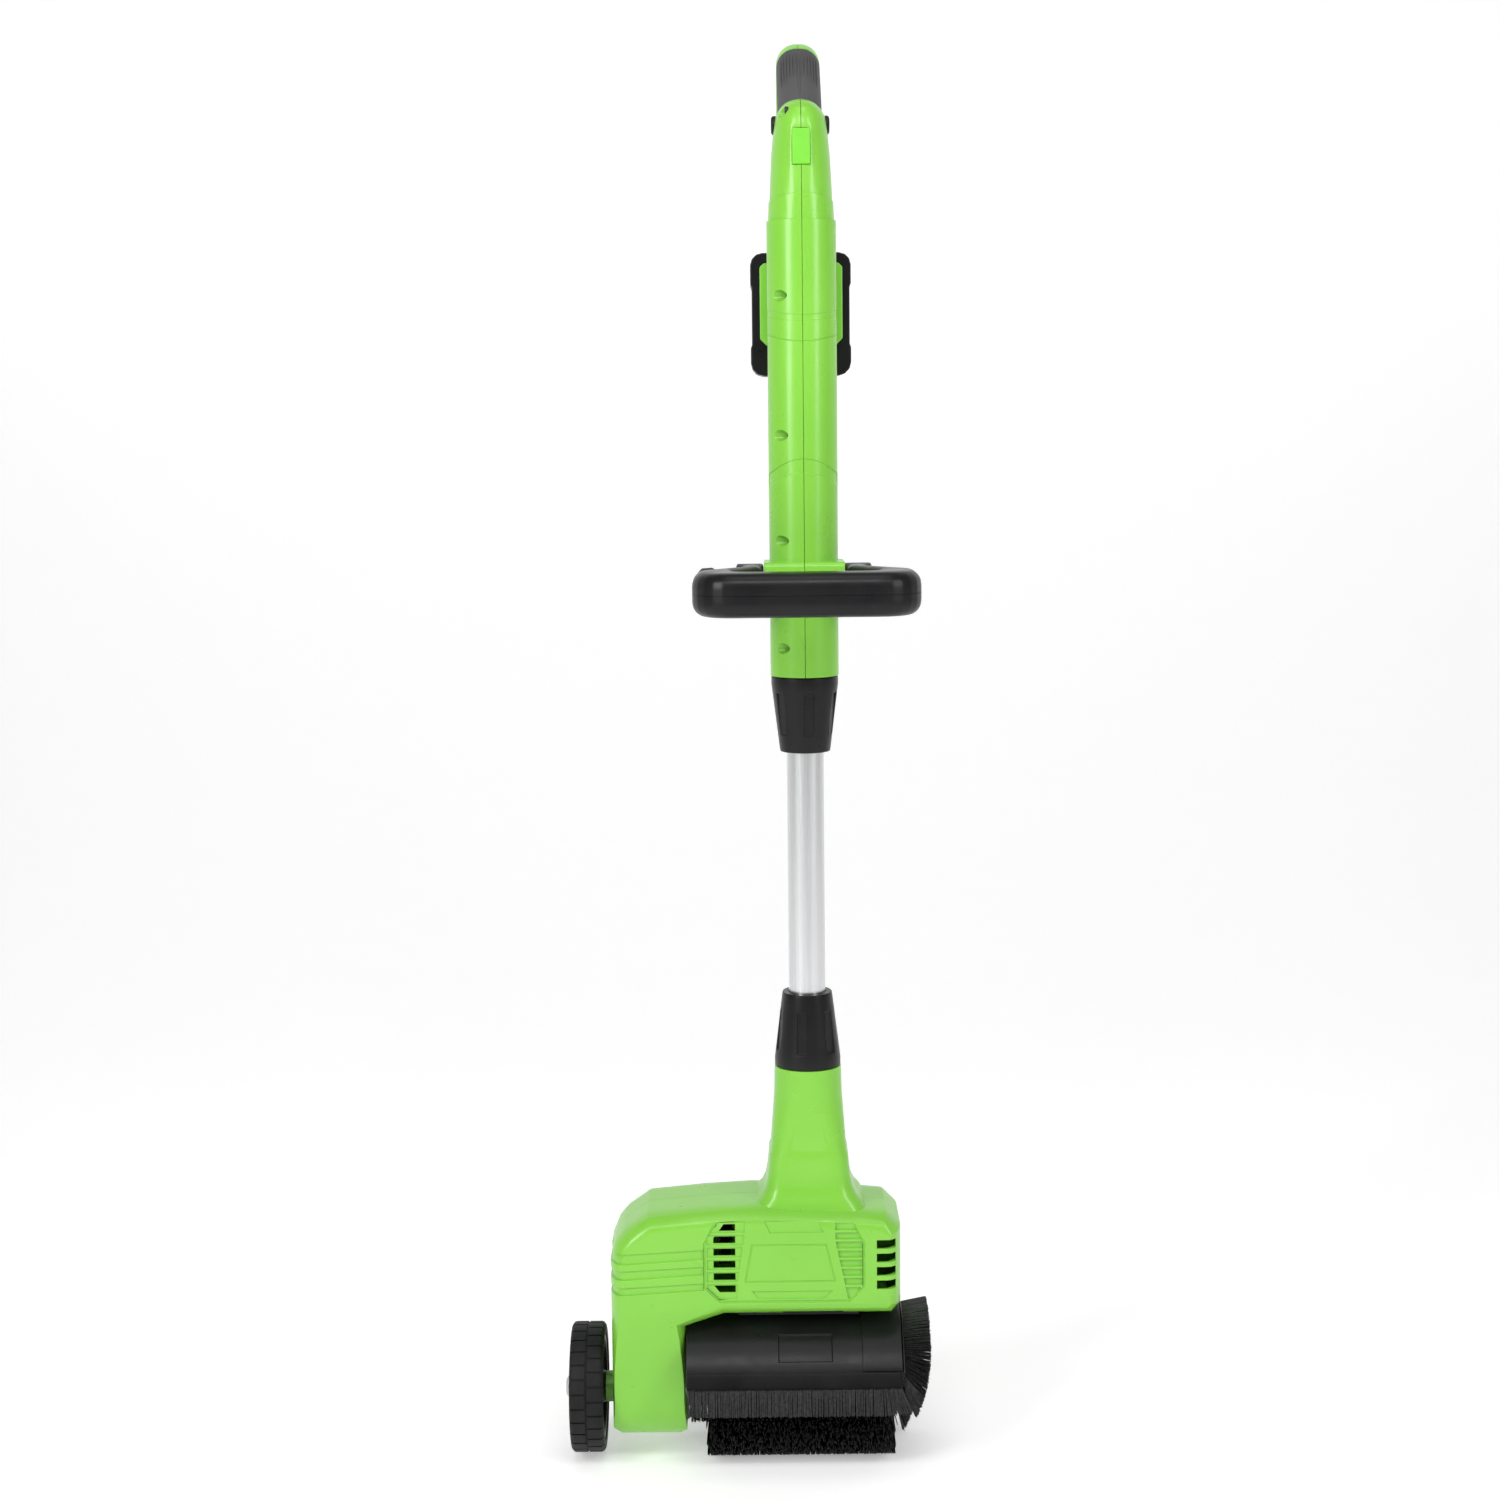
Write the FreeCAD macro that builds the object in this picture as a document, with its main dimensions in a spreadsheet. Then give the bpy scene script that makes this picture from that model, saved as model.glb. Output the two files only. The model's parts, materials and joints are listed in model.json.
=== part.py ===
import FreeCAD, Part
import math
import os
import re

import Sketcher
from FreeCAD import Placement, Rotation, Vector

# A cordless rotary brush sweeper. Millimetres, +Z up along the pole. The pole's axis is x = y = 0,
# the floor under the brush is z = 0, the brush turns about a line along X, and the user stands at +Y.

DIMENSIONS = (
    ("wall", 2.6, "thickness of a moulded shell"),
    ("gap", 0.3, "space between pieces that move past each other"),
    ("fit", 0.05, "radial clearance of a running fit"),
    ("axle_height", 54, "height of the brush and wheel axis"),
    ("brush_radius", 54, "outside of the bristles"),
    ("brush_left", -82, "left end of the bristles"),
    ("brush_right", 68, "right end of the bristles"),
    ("core_radius", 22, "brush core"),
    ("spindle_radius", 8, "brush spindle"),
    ("spindle_left", -140.5, "left end of the spindle"),
    ("wheel_radius", 50, "tread of the side wheel"),
    ("wheel_left", -186.5, "outer face of the wheel"),
    ("wheel_right", -160.5, "inner face of the wheel"),
    ("rim_radius", 41, "seat of the tyre on the rim"),
    ("wheel_axle_radius", 5, "stub axle of the wheel"),
    ("head_left", -153.5, "left face of the head"),
    ("head_right", 69.5, "right face of the head"),
    ("head_top", 210, "top of the head"),
    ("head_bottom", 124.3, "underside of the head over the brush"),
    ("head_depth", 46, "half the head's depth"),
    ("head_bevel", 11, "bevel round the head's front and rear faces"),
    ("leg_right", -96.5, "inner face of the gear leg"),
    ("leg_radius", 36, "rounded foot of the gear leg, about the spindle"),
    ("neck_top", 312, "top of the neck"),
    ("neck_radius", 25.5, "neck at its top"),
    ("neck_base", 31.5, "half width of the neck above its flare"),
    ("tube_radius", 14, "outside of the pole"),
    ("tube_bore", 12.6, "inside radius of the pole"),
    ("tube_bottom", 262, "lower end of the pole, in the neck"),
    ("tube_top", 680, "upper end of the pole, in the handle"),
    ("collar_length", 57.5, "twist collar"),
    ("collar_wide", 25.3, "wide end of a twist collar"),
    ("collar_narrow", 18.9, "narrow end of a twist collar"),
    ("collet_radius", 19.5, "outside of the threaded collets"),
    ("collet_length", 40, "threaded collets"),
    ("handle_bottom", 614, "lower end of the handle housing"),
    ("handle_radius", 25.8, "round part of the handle housing"),
    ("handle_bore", 17, "hollow of the handle housing"),
    ("shoulder", 951, "height where the housing starts to narrow"),
    ("nose_height", 1020, "height of the nose's centre"),
    ("nose_width", 19.6, "half width of the nose"),
    ("nose_depth", 28, "half depth of the nose"),
    ("nose_shift", 6, "the nose leans back by this"),
    ("grip_start_y", 14, "grip line, front end"),
    ("grip_start_z", 1024, "grip line, front end"),
    ("grip_end_y", 104, "grip line, rear end"),
    ("grip_end_z", 1099, "grip line, rear end"),
    ("loop_base_y", 92, "lower rear corner of the handle's loop"),
    ("loop_base_z", 950, "height of the loop's lower bar"),
    ("loop_bend", 20, "bend radius of the loop's corners"),
    ("grip_size", 29, "width and height of the loop's section"),
    ("grip_round", 13.5, "rounding of the loop's section"),
    ("rubber", 2, "thickness of the soft cover of the grip"),
    ("pivot_height", 682, "tilt axis of the front handle"),
    ("pivot_boss", 30, "half width of the boss that carries the front handle"),
    ("stud_radius", 4, "pivot studs of the front handle"),
    ("hub_outer", 51, "outer faces of the front handle's hubs"),
    ("hub_radius", 16.5, "hubs of the front handle"),
    ("loop_half", 82.5, "half width of the front handle"),
    ("loop_reach", 120, "front of the front handle ahead of the pole"),
    ("loop_bar", 32.5, "height of the front handle's bar"),
    ("battery_half", 38, "half width of the battery"),
    ("battery_bottom", 838.5, "underside of the battery"),
    ("battery_top", 930.5, "top of the battery"),
    ("battery_front", 34.4, "face of the battery against its mount"),
    ("battery_split", 60, "joint between the battery's case and cover"),
    ("battery_back", 84, "rear face of the battery"),
    ("rail_bottom", 861, "lower end of the battery rail"),
    ("rail_top", 922, "upper end of the battery rail"),
    ("rail_neck", 15, "half width of the rail's neck"),
    ("rail_head", 20, "half width of the rail's head"),
    ("motor_height", 178, "motor axis"),
    ("motor_radius", 21, "motor can"),
    ("motor_left", -52.5, "drive end of the motor can"),
    ("motor_right", 19.5, "open end of the motor can"),
    ("tooth_module", 1, "module of the reduction gears"),
    ("pinion_teeth", 16, "teeth of the motor pinion"),
    ("wheel_teeth", 40, "teeth of the reduction gear"),
    ("countershaft_radius", 5, "countershaft"),
    ("pulley_left", -130.5, "left flanges of both pulleys"),
    ("pulley_right", -118.5, "right flanges of both pulleys"),
    ("pulley_small", 11.2, "belt seat of the small pulley"),
    ("pulley_large", 28, "belt seat of the large pulley"),
    ("belt_thickness", 2, "drive belt"),
    ("guard_radius", 62, "inside of the brush guard"),
    ("guard_wall", 3, "thickness of the brush guard"),
    ("guard_right", 71.5, "right face of the guard's end cover"),
    ("guard_front", 71, "front edge of the guard, degrees forward of straight up"),
    ("guard_rear", -125, "rear edge of the guard, degrees forward of straight up"),
    ("skirt_reach", 92.5, "tips of the side bristles"),
)

doc = FreeCAD.newDocument("BrushSweeper")
sheet = doc.addObject("Spreadsheet::Sheet", "dims")
for row, (alias, value, meaning) in enumerate(DIMENSIONS, start=1):
    sheet.set(f"A{row}", meaning)
    sheet.set(f"B{row}", str(value))
    sheet.setAlias(f"B{row}", alias)
doc.recompute()

ALIASES = {alias for alias, value, meaning in DIMENSIONS}
SUBPARTS = []

TO_X = Rotation(Vector(0, 1, 0), 90)
TO_Y = Rotation(Vector(1, 0, 0), -90)
UPRIGHT = Rotation()


# ---- values, bindings and names

def formula(text):
    """A formula with its aliases turned into references to the sheet."""
    def refer(word):
        return f"dims.{word[0]}" if word[0] in ALIASES else word[0]
    return re.sub(r"[a-z]\w*", refer, str(text))


def number(text):
    """The value of a formula, worked out by the sheet."""
    return float(sheet.evalExpression(str(text)))


def bind(item, **formulas):
    """Bind properties of an object to formulas."""
    for name, text in formulas.items():
        item.setExpression(name, formula(text))


def place(item, x=0, y=0, z=0, turn=UPRIGHT):
    """Turn an object and bind its position to formulas."""
    item.Placement = Placement(Vector(number(x), number(y), number(z)), turn)
    for axis, text in (("x", x), ("y", y), ("z", z)):
        item.setExpression(f"Placement.Base.{axis}", formula(text))


def subpart(item, label):
    """Name an object as one of the sweeper's pieces."""
    item.Label = label
    SUBPARTS.append(item)
    return item


# ---- primitives and booleans

def rod(name, radius, start, end, axis="Z", centre=(0, 0)):
    """A cylinder between two stations of an axis; centre gives its other two coordinates."""
    item = doc.addObject("Part::Cylinder", name)
    bind(item, Radius=radius, Height=f"({end}) - ({start})")
    one, two = centre
    if axis == "X":
        place(item, start, one, two, TO_X)
    elif axis == "Y":
        place(item, one, start, two, TO_Y)
    else:
        place(item, one, two, start)
    return item


def block(name, low, high):
    """A box between its lowest and highest corners."""
    item = doc.addObject("Part::Box", name)
    for size, first, last in zip(("Length", "Width", "Height"), low, high):
        item.setExpression(size, formula(f"({last}) - ({first})"))
    place(item, *low)
    return item


def fuse(name, *items):
    item = doc.addObject("Part::MultiFuse", name)
    item.Shapes = list(items)
    return item


def cut(name, base, *tools):
    item = doc.addObject("Part::Cut", name)
    item.Base = base
    item.Tool = tools[0] if len(tools) == 1 else fuse(f"{name}_tools", *tools)
    return item


def shaped(name, shape):
    """A piece whose shape is worked out below from the sheet's values."""
    item = doc.addObject("Part::Feature", name)
    item.Shape = shape
    return item


# ---- sketched bodies

def sketch_outline(body, outline, plane="XZ_Plane"):
    """A closed sketch on one of the body's own planes, each corner bound to two formulas."""
    planes = {feature.Role: feature for feature in body.Origin.OriginFeatures}
    sketch = body.newObject("Sketcher::SketchObject", f"{body.Name}_sketch")
    sketch.AttachmentSupport = (planes[plane], [""])
    sketch.MapMode = "FlatFace"
    corners = [Vector(number(along), number(up), 0) for along, up in outline]
    count = len(corners)
    for index in range(count):
        sketch.addGeometry(Part.LineSegment(corners[index], corners[(index + 1) % count]), False)
    for index in range(count):
        sketch.addConstraint(Sketcher.Constraint("Coincident", index, 2, (index + 1) % count, 1))
    for index, (along, up) in enumerate(outline):
        for kind, text, value in (("DistanceX", along, corners[index].x),
                                  ("DistanceY", up, corners[index].y)):
            row = sketch.addConstraint(Sketcher.Constraint(kind, -1, 1, index, 1, value))
            sketch.setExpression(f"Constraints[{row}]", formula(text))
    return sketch


def turned(name, outline, about="V_Axis", x=0, y=0, z=0, turn=UPRIGHT):
    """A body turned from an outline. V_Axis turns (radius, height) and H_Axis (station, radius)."""
    body = doc.addObject("PartDesign::Body", name)
    sketch = sketch_outline(body, outline)
    turning = body.newObject("PartDesign::Revolution", f"{name}_turning")
    turning.Profile = sketch
    turning.ReferenceAxis = (sketch, [about])
    turning.Angle = 360
    place(body, x, y, z, turn)
    return body


def on_axle(name, outline, height="axle_height"):
    """A body turned about a line along X at the given height, from (x, radius) corners."""
    return turned(name, outline, "H_Axis", z=height)


def tube_outline(inner, outer, start, end):
    """Corners of a plain tube, as (station, radius)."""
    return [(start, inner), (start, outer), (end, outer), (end, inner)]


def padded(name, outline, thickness, plane="XZ_Plane", x=0, y=0, z=0):
    """A body padded from an outline, half its thickness to each side of the plane."""
    body = doc.addObject("PartDesign::Body", name)
    sketch = sketch_outline(body, outline, plane)
    pad = body.newObject("PartDesign::Pad", f"{name}_pad")
    pad.Profile = sketch
    pad.Midplane = True
    bind(pad, Length=thickness)
    place(body, x, y, z)
    return body


def repeat_round(body, feature, count, axis_role):
    """Repeat a feature of a body evenly round one of the body's axes."""
    axes = {item.Role: item for item in body.Origin.OriginFeatures}
    pattern = body.newObject("PartDesign::PolarPattern", f"{body.Name}_pattern")
    pattern.Originals = [feature]
    pattern.Axis = (axes[axis_role], [""])
    pattern.Angle = 360
    pattern.Occurrences = count
    body.Tip = pattern
    return body


def pocket(body, outline, width, plane="XZ_Plane"):
    """A pocket through a body, half its width to each side of the plane."""
    sketch = sketch_outline(body, outline, plane)
    hollow = body.newObject("PartDesign::Pocket", f"{body.Name}_pocket")
    hollow.Profile = sketch
    hollow.Midplane = True
    bind(hollow, Length=width)
    body.Tip = hollow
    return hollow


# ---- freeform helpers, in numbers

def inset(points, distance):
    """Move a closed outline inwards by a distance, its corners mitred. Points run clockwise."""
    moved = []
    for index, (x, y) in enumerate(points):
        before, after = points[index - 1], points[(index + 1) % len(points)]
        lines = []
        for (x0, y0), (x1, y1) in ((before, (x, y)), ((x, y), after)):
            length = math.hypot(x1 - x0, y1 - y0)
            lines.append(((y1 - y0) / length, -(x1 - x0) / length))
        (ax, ay), (bx, by) = lines
        scale = distance / (1 + ax * bx + ay * by)
        moved.append((x + (ax + bx) * scale, y + (ay + by) * scale))
    return moved


def face_on_y(points, y):
    """A flat face of (x, z) points at one y."""
    corners = [Vector(x, y, z) for x, z in points]
    return Part.makePolygon(corners + corners[:1])


def face_on_x(points, x):
    """A flat outline of (y, z) points at one x."""
    corners = [Vector(x, y, z) for y, z in points]
    return Part.makePolygon(corners + corners[:1])


def rounded_rectangle(width, height, radius, frame):
    """A rounded rectangle as a wire, in a frame whose X and Y are its width and height."""
    across, up = width / 2, height / 2
    edges = []
    corner_angles = ((across - radius, up - radius, 0), (radius - across, up - radius, 90),
                     (radius - across, radius - up, 180), (across - radius, radius - up, 270))
    ends = []
    for x, y, start in corner_angles:
        points = []
        for angle in (start, start + 45, start + 90):
            turn = math.radians(angle)
            points.append(Vector(x + radius * math.cos(turn), y + radius * math.sin(turn), 0))
        edges.append(Part.Arc(*points).toShape())
        ends.append((points[0], points[2]))
    for index in range(4):
        edges.append(Part.LineSegment(ends[index][1], ends[(index + 1) % 4][0]).toShape())
    wire = Part.Wire(Part.__sortEdges__(edges))
    wire.Placement = frame
    return wire


# ---- brush and wheel

def make_brush():
    subpart(on_axle("spindle", [
        ("spindle_left", 0), ("spindle_left", "spindle_radius - 0.6"),
        ("spindle_left + 0.6", "spindle_radius"), ("brush_right - 11", "spindle_radius"),
        ("brush_right - 11", 5), ("brush_right - 1.5", 5), ("brush_right - 0.5", 4),
        ("brush_right - 0.5", 0)]), "brush_spindle")
    subpart(on_axle("core", tube_outline(
        "spindle_radius", "core_radius", "brush_left + 1.5", "brush_right - 11")), "brush_core")
    subpart(on_axle("bristles", [
        ("brush_left + 2", "core_radius"), ("brush_left", "brush_radius - 3"),
        ("brush_left", "brush_radius"), ("brush_right", "brush_radius"),
        ("brush_right", "brush_radius - 3"), ("brush_right - 12", "core_radius")]),
        "brush_bristles")
    nut = doc.addObject("Part::Prism", "end_nut_blank")
    nut.Polygon = 6
    bind(nut, Circumradius=9.5, Height=6)
    place(nut, "brush_right - 9", 0, "axle_height", TO_X)
    flange = rod("end_nut_flange", 12, "brush_right - 11", "brush_right - 9", "X",
                 (0, "axle_height"))
    bore = rod("end_nut_bore", 5, "brush_right - 12", "brush_right", "X", (0, "axle_height"))
    subpart(cut("end_nut", fuse("end_nut_solid", nut, flange), bore), "brush_end_nut")


def make_wheel():
    left, right = "wheel_left", "wheel_right"
    bore = "wheel_axle_radius + fit"
    subpart(on_axle("rim", [
        (left, bore), (left, 12), ("wheel_left + 9", 14), ("wheel_left + 9", "rim_radius - 6"),
        ("wheel_left + 1", "rim_radius - 4"), ("wheel_left + 1", "rim_radius"),
        ("wheel_right - 1", "rim_radius"), ("wheel_right - 1", "rim_radius - 4"),
        ("wheel_right - 10", "rim_radius - 6"), ("wheel_right - 10", 14), (right, 12),
        (right, bore)]), "wheel_rim")
    subpart(on_axle("tyre", [
        (left, "rim_radius"), (left, "wheel_radius - 3"), ("wheel_left + 2.5", "wheel_radius"),
        ("wheel_right - 2.5", "wheel_radius"), (right, "wheel_radius - 3"),
        (right, "rim_radius")]), "wheel_tyre")
    subpart(on_axle("stub", [
        ("wheel_left - 5", 0), ("wheel_left - 5", 6), ("wheel_left - 3", 9),
        ("wheel_left - gap", 9), ("wheel_left - gap", "wheel_axle_radius"),
        ("head_left + 9", "wheel_axle_radius"), ("head_left + 9", 0)]), "wheel_axle")
    subpart(on_axle("stub_clip", tube_outline(
        "wheel_axle_radius", 8.5, "head_left + 6.5", "head_left + 8")), "axle_clip")


# ---- gears, pulleys and belt

def gear_shape(teeth, module, start, end, height, bore, phase):
    """A spur gear about a line along X; a tooth's centre stands at the phase, in degrees."""
    pressure = math.radians(20)
    pitch = module * teeth / 2
    base = pitch * math.cos(pressure)
    tip, root = pitch + 0.75 * module, pitch - 1.15 * module
    thinning = 0.07 * module / pitch
    half_tooth = math.pi / (2 * teeth) - thinning + math.tan(pressure) - pressure
    first = max(base, root)

    def flank(radius):
        """Half the tooth's angle at a radius."""
        slope = math.acos(min(1, base / radius))
        return half_tooth - (math.tan(slope) - slope)

    stations = [first + (tip - first) * step / 5 for step in range(6)]
    corners = []
    for tooth in range(teeth):
        middle = math.radians(phase) + 2 * math.pi * tooth / teeth
        side = [(root, flank(first))] if root < first else []
        side += [(radius, flank(radius)) for radius in stations]
        rising = [(radius, middle - angle) for radius, angle in side]
        falling = [(radius, middle + angle) for radius, angle in reversed(side)]
        corners += rising + falling
    points = [Vector(start, radius * math.cos(angle), height + radius * math.sin(angle))
              for radius, angle in corners]
    blank = Part.Face(Part.makePolygon(points + points[:1])).extrude(Vector(end - start, 0, 0))
    hole = Part.makeCylinder(bore, end - start + 2, Vector(start - 1, 0, height), Vector(1, 0, 0))
    return blank.cut(hole)


def pulley_outline(seat, bore):
    """A flanged pulley as (x, radius) corners."""
    flange = f"{seat} + belt_thickness + 0.8"
    return [("pulley_left", bore), ("pulley_left", flange), ("pulley_left + 1.6", flange),
            ("pulley_left + 1.6", seat), ("pulley_right - 1.6", seat),
            ("pulley_right - 1.6", flange), ("pulley_right", flange), ("pulley_right", bore)]


def belt_face(small, large, low, high, x):
    """The area inside a belt line round two pulleys that stand one above the other."""
    lean = math.asin((large - small) / (high - low))
    reach = []
    for radius, height in ((small, high), (large, low)):
        reach.append((radius * math.cos(lean), height + radius * math.sin(lean)))
    (top_y, top_z), (low_y, low_z) = reach
    left_top, right_top = Vector(x, -top_y, top_z), Vector(x, top_y, top_z)
    left_low, right_low = Vector(x, -low_y, low_z), Vector(x, low_y, low_z)
    edges = [
        Part.Arc(left_top, Vector(x, 0, high + small), right_top).toShape(),
        Part.LineSegment(right_top, right_low).toShape(),
        Part.Arc(right_low, Vector(x, 0, low - large), left_low).toShape(),
        Part.LineSegment(left_low, left_top).toShape(),
    ]
    return Part.Face(Part.Wire(edges))


def make_drive():
    module = number("tooth_module")
    teeth, pinion = int(number("wheel_teeth")), int(number("pinion_teeth"))
    counter = "motor_height - tooth_module * (wheel_teeth + pinion_teeth) / 2"
    gear_left, gear_right = number("leg_right - 11"), number("leg_right - 3")
    subpart(shaped("gear", gear_shape(teeth, module, gear_left, gear_right, number(counter),
                                      number("countershaft_radius"), 90 + 180 / teeth)),
            "reduction_gear")
    subpart(shaped("pinion", gear_shape(pinion, module, gear_left - 0.5, gear_right + 0.5,
                                        number("motor_height"), 2.5, -90)), "motor_pinion")
    subpart(on_axle("countershaft_bar", [
        ("spindle_left + 1", 0), ("spindle_left + 1", "countershaft_radius"),
        ("leg_right + 8", "countershaft_radius"), ("leg_right + 8", 0)], counter), "countershaft")
    subpart(on_axle("pulley_top", pulley_outline("pulley_small", "countershaft_radius"), counter),
            "small_pulley")
    subpart(on_axle("pulley_low", pulley_outline("pulley_large", "spindle_radius")),
            "large_pulley")

    slack, thickness = number("gap"), number("belt_thickness")
    left, width = number("pulley_left + 1.9"), number("pulley_right - pulley_left - 3.8")
    faces = []
    for growth in (slack + thickness, slack):
        faces.append(belt_face(number("pulley_small") + growth, number("pulley_large") + growth,
                               number("axle_height"), number(counter), left))
    subpart(shaped("belt", faces[0].cut(faces[1]).extrude(Vector(width, 0, 0))), "drive_belt")

    plate = block("plate_blank", ("leg_right + 2", -32, "head_bottom + 6"),
                  ("leg_right + 6", 32, "head_top - 12"))
    seat = rod("plate_seat", 10, "leg_right", "leg_right + 8", "X", (0, counter))
    pilot = rod("plate_pilot", 7, "leg_right", "leg_right + 8", "X", (0, "motor_height"))
    subpart(cut("plate", plate, seat, pilot), "gear_plate")

    bearings = []
    for index, (left_end, right_end) in enumerate((("spindle_left", "spindle_left + 6"),
                                                   ("leg_right + 2", "leg_right + 6"))):
        ring = on_axle(f"counter_ring_{index}", tube_outline(
            "countershaft_radius + fit", 10, left_end, right_end), counter)
        bearings.append(ring)
    subpart(fuse("counter_rings", *bearings), "countershaft_bearings")
    bearings = []
    for index, (left_end, right_end) in enumerate((("spindle_left", "spindle_left + 7"),
                                                   ("leg_right - 12", "leg_right - 3"))):
        ring = on_axle(f"spindle_ring_{index}", tube_outline(
            "spindle_radius + fit", 14, left_end, right_end))
        bearings.append(ring)
    subpart(fuse("spindle_rings", *bearings), "spindle_bearings")


def make_motor():
    subpart(on_axle("can", [
        ("motor_left", 4), ("motor_left", "motor_radius - 1.5"),
        ("motor_left + 1.5", "motor_radius"), ("motor_right", "motor_radius"),
        ("motor_right", "motor_radius - 2.4"), ("motor_left + 2.4", "motor_radius - 2.4"),
        ("motor_left + 2.4", 4)], "motor_height"), "motor_can")
    subpart(on_axle("cap", [
        ("motor_right", 3), ("motor_right", "motor_radius"),
        ("motor_right + 6", "motor_radius"), ("motor_right + 9", "motor_radius - 5"),
        ("motor_right + 9", 3)], "motor_height"), "motor_end_cap")
    subpart(on_axle("armature", [
        ("leg_right - 12", 0), ("leg_right - 12", 2.5), ("motor_left + 6", 2.5),
        ("motor_left + 6", 13), ("motor_right - 10", 13), ("motor_right - 10", 8),
        ("motor_right - 2", 8), ("motor_right - 2", 2.5), ("motor_right + 12", 2.5),
        ("motor_right + 12", 0)], "motor_height"), "motor_rotor")
    disc = on_axle("fan_disc", [
        ("motor_left - 18", 2.5), ("motor_left - 18", 24), ("motor_left - 16.5", 24),
        ("motor_left - 16.5", 7), ("motor_left - 8", 6), ("motor_left - 8", 2.5)],
        "motor_height")
    blades = []
    blade_count = 9
    for index in range(blade_count):
        blade = doc.addObject("Part::Box", f"fan_blade_{index}")
        bind(blade, Length=8, Width=1.2, Height=17.5)
        spin = Rotation(Vector(1, 0, 0), 360 * index / blade_count)
        offset = spin.multVec(Vector(0, -0.6, 6.2))
        place(blade, "motor_left - 17", offset.y, f"motor_height + {offset.z}", spin)
        blades.append(blade)
    subpart(fuse("fan", disc, *blades), "motor_fan")


# ---- head

def head_outline():
    """Front outline of the head with its gear leg, clockwise from the leg's lower left."""
    left, right = number("head_left"), number("head_right")
    top, bottom = number("head_top"), number("head_bottom")
    leg, foot = number("leg_right"), number("axle_height - leg_radius")
    return [(left, foot + 13), (left, top - 38), (left + 5, top - 26), (left + 12, top - 18),
            (left + 29, top - 6), (left + 72, top - 2), (-44, top), (24, top - 3),
            (right - 11, top - 6.5), (right, top - 17.5), (right, bottom + 8),
            (right - 7, bottom), (-66, bottom), (leg, bottom - 10), (leg, foot + 9),
            (leg - 10, foot), (left + 10, foot)]


def head_side(shrink):
    """Side outline of the head: a deep box on a narrower leg with a round foot."""
    deep, foot = number("head_depth") - shrink, number("leg_radius") - shrink
    axle, bottom, top = number("axle_height"), number("head_bottom"), number("head_top") + 5
    steps = 12
    outline = [(-deep, top), (deep, top), (deep, bottom + 6), (foot, axle + 14)]
    for step in range(steps + 1):
        turn = math.pi * step / steps
        outline.append((foot * math.cos(turn), axle - foot * math.sin(turn)))
    outline += [(-foot, axle + 14), (-deep, bottom + 6)]
    return outline


def head_solid(shrink):
    """The head's bevelled block with its leg, moved inwards by shrink."""
    outline = inset(head_outline(), shrink)
    bevel, deep = number("head_bevel"), number("head_depth") - shrink
    steps, round_depth = 5, 20
    rounding = []
    for step in range(steps + 1):
        turn = math.pi / 2 * step / steps
        rounding.append((deep - round_depth * (1 - math.cos(turn)), bevel * (1 - math.sin(turn))))
    stations = [(-y, inwards) for y, inwards in rounding] + rounding[::-1]
    sections = [face_on_y(inset(outline, inwards), y) for y, inwards in stations]
    block_solid = Part.makeLoft(sections, True, True)
    side = face_on_x(head_side(shrink), number("head_left") - 5)
    width = number("head_right - head_left") + 10
    return block_solid.common(Part.Face(side).extrude(Vector(width, 0, 0)))


def neck_solid():
    """The neck, flaring into the top of the head."""
    base, top = number("neck_base"), number("neck_top")
    head_top = number("head_top")
    sections = []
    for z, half_width, half_depth, corner in (
            (head_top - 14, base + 17, number("head_depth") - 8, 14),
            (head_top + 1, base + 8, base + 3, 14),
            (head_top + 5, base + 4.6, base + 1, 13.5),
            (head_top + 11, base + 1.8, base - 1, 13),
            (head_top + 20, base, base - 2, 12)):
        frame = Placement(Vector(0, 0, z), UPRIGHT)
        sections.append(rounded_rectangle(2 * half_width, 2 * half_depth, corner, frame))
    flare = Part.makeLoft(sections, True, True)
    sections = []
    for z, half_width, half_depth, corner in (
            (head_top + 20, base, base - 2, 12),
            (head_top + 36, base - 1.4, base - 3.2, 12.5),
            (head_top + 38.5, base - 2.5, base - 4.2, 13),
            (top - 22, number("neck_radius") + 0.6, number("neck_radius") + 0.6, 22),
            (top, number("neck_radius"), number("neck_radius"), 24.5)):
        frame = Placement(Vector(0, 0, z), UPRIGHT)
        sections.append(rounded_rectangle(2 * half_width, 2 * half_depth, corner, frame))
    return flare.fuse(Part.makeLoft(sections, True, True))


def box(x0, x1, y0, y1, z0, z1):
    return Part.makeBox(x1 - x0, y1 - y0, z1 - z0, Vector(x0, y0, z0))


def bar(radius, x0, x1, y, z):
    """A cylinder along X."""
    return Part.makeCylinder(radius, x1 - x0, Vector(x0, y, z), Vector(1, 0, 0))


def slots(count, x0, x1, z_low, pitch, height, y0, y1):
    """A column of cooling slots through the front or rear wall."""
    boxes = []
    for index in range(count):
        z = z_low + pitch * index
        boxes.append(box(x0, x1, y0, y1, z, z + height))
    return boxes


def ribbed_field(outline, sink, bars):
    """Solids that sink an outline of the head's front face, except where its ribs cross."""
    face = -number("head_depth")
    sunk = Part.Face(face_on_y(outline, face - 1)).extrude(Vector(0, sink + 1, 0))
    ribs = [box(-90, 60, face - 2, face + 4, low, high) for low, high in bars]
    return sunk.cut(ribs).Solids


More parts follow.
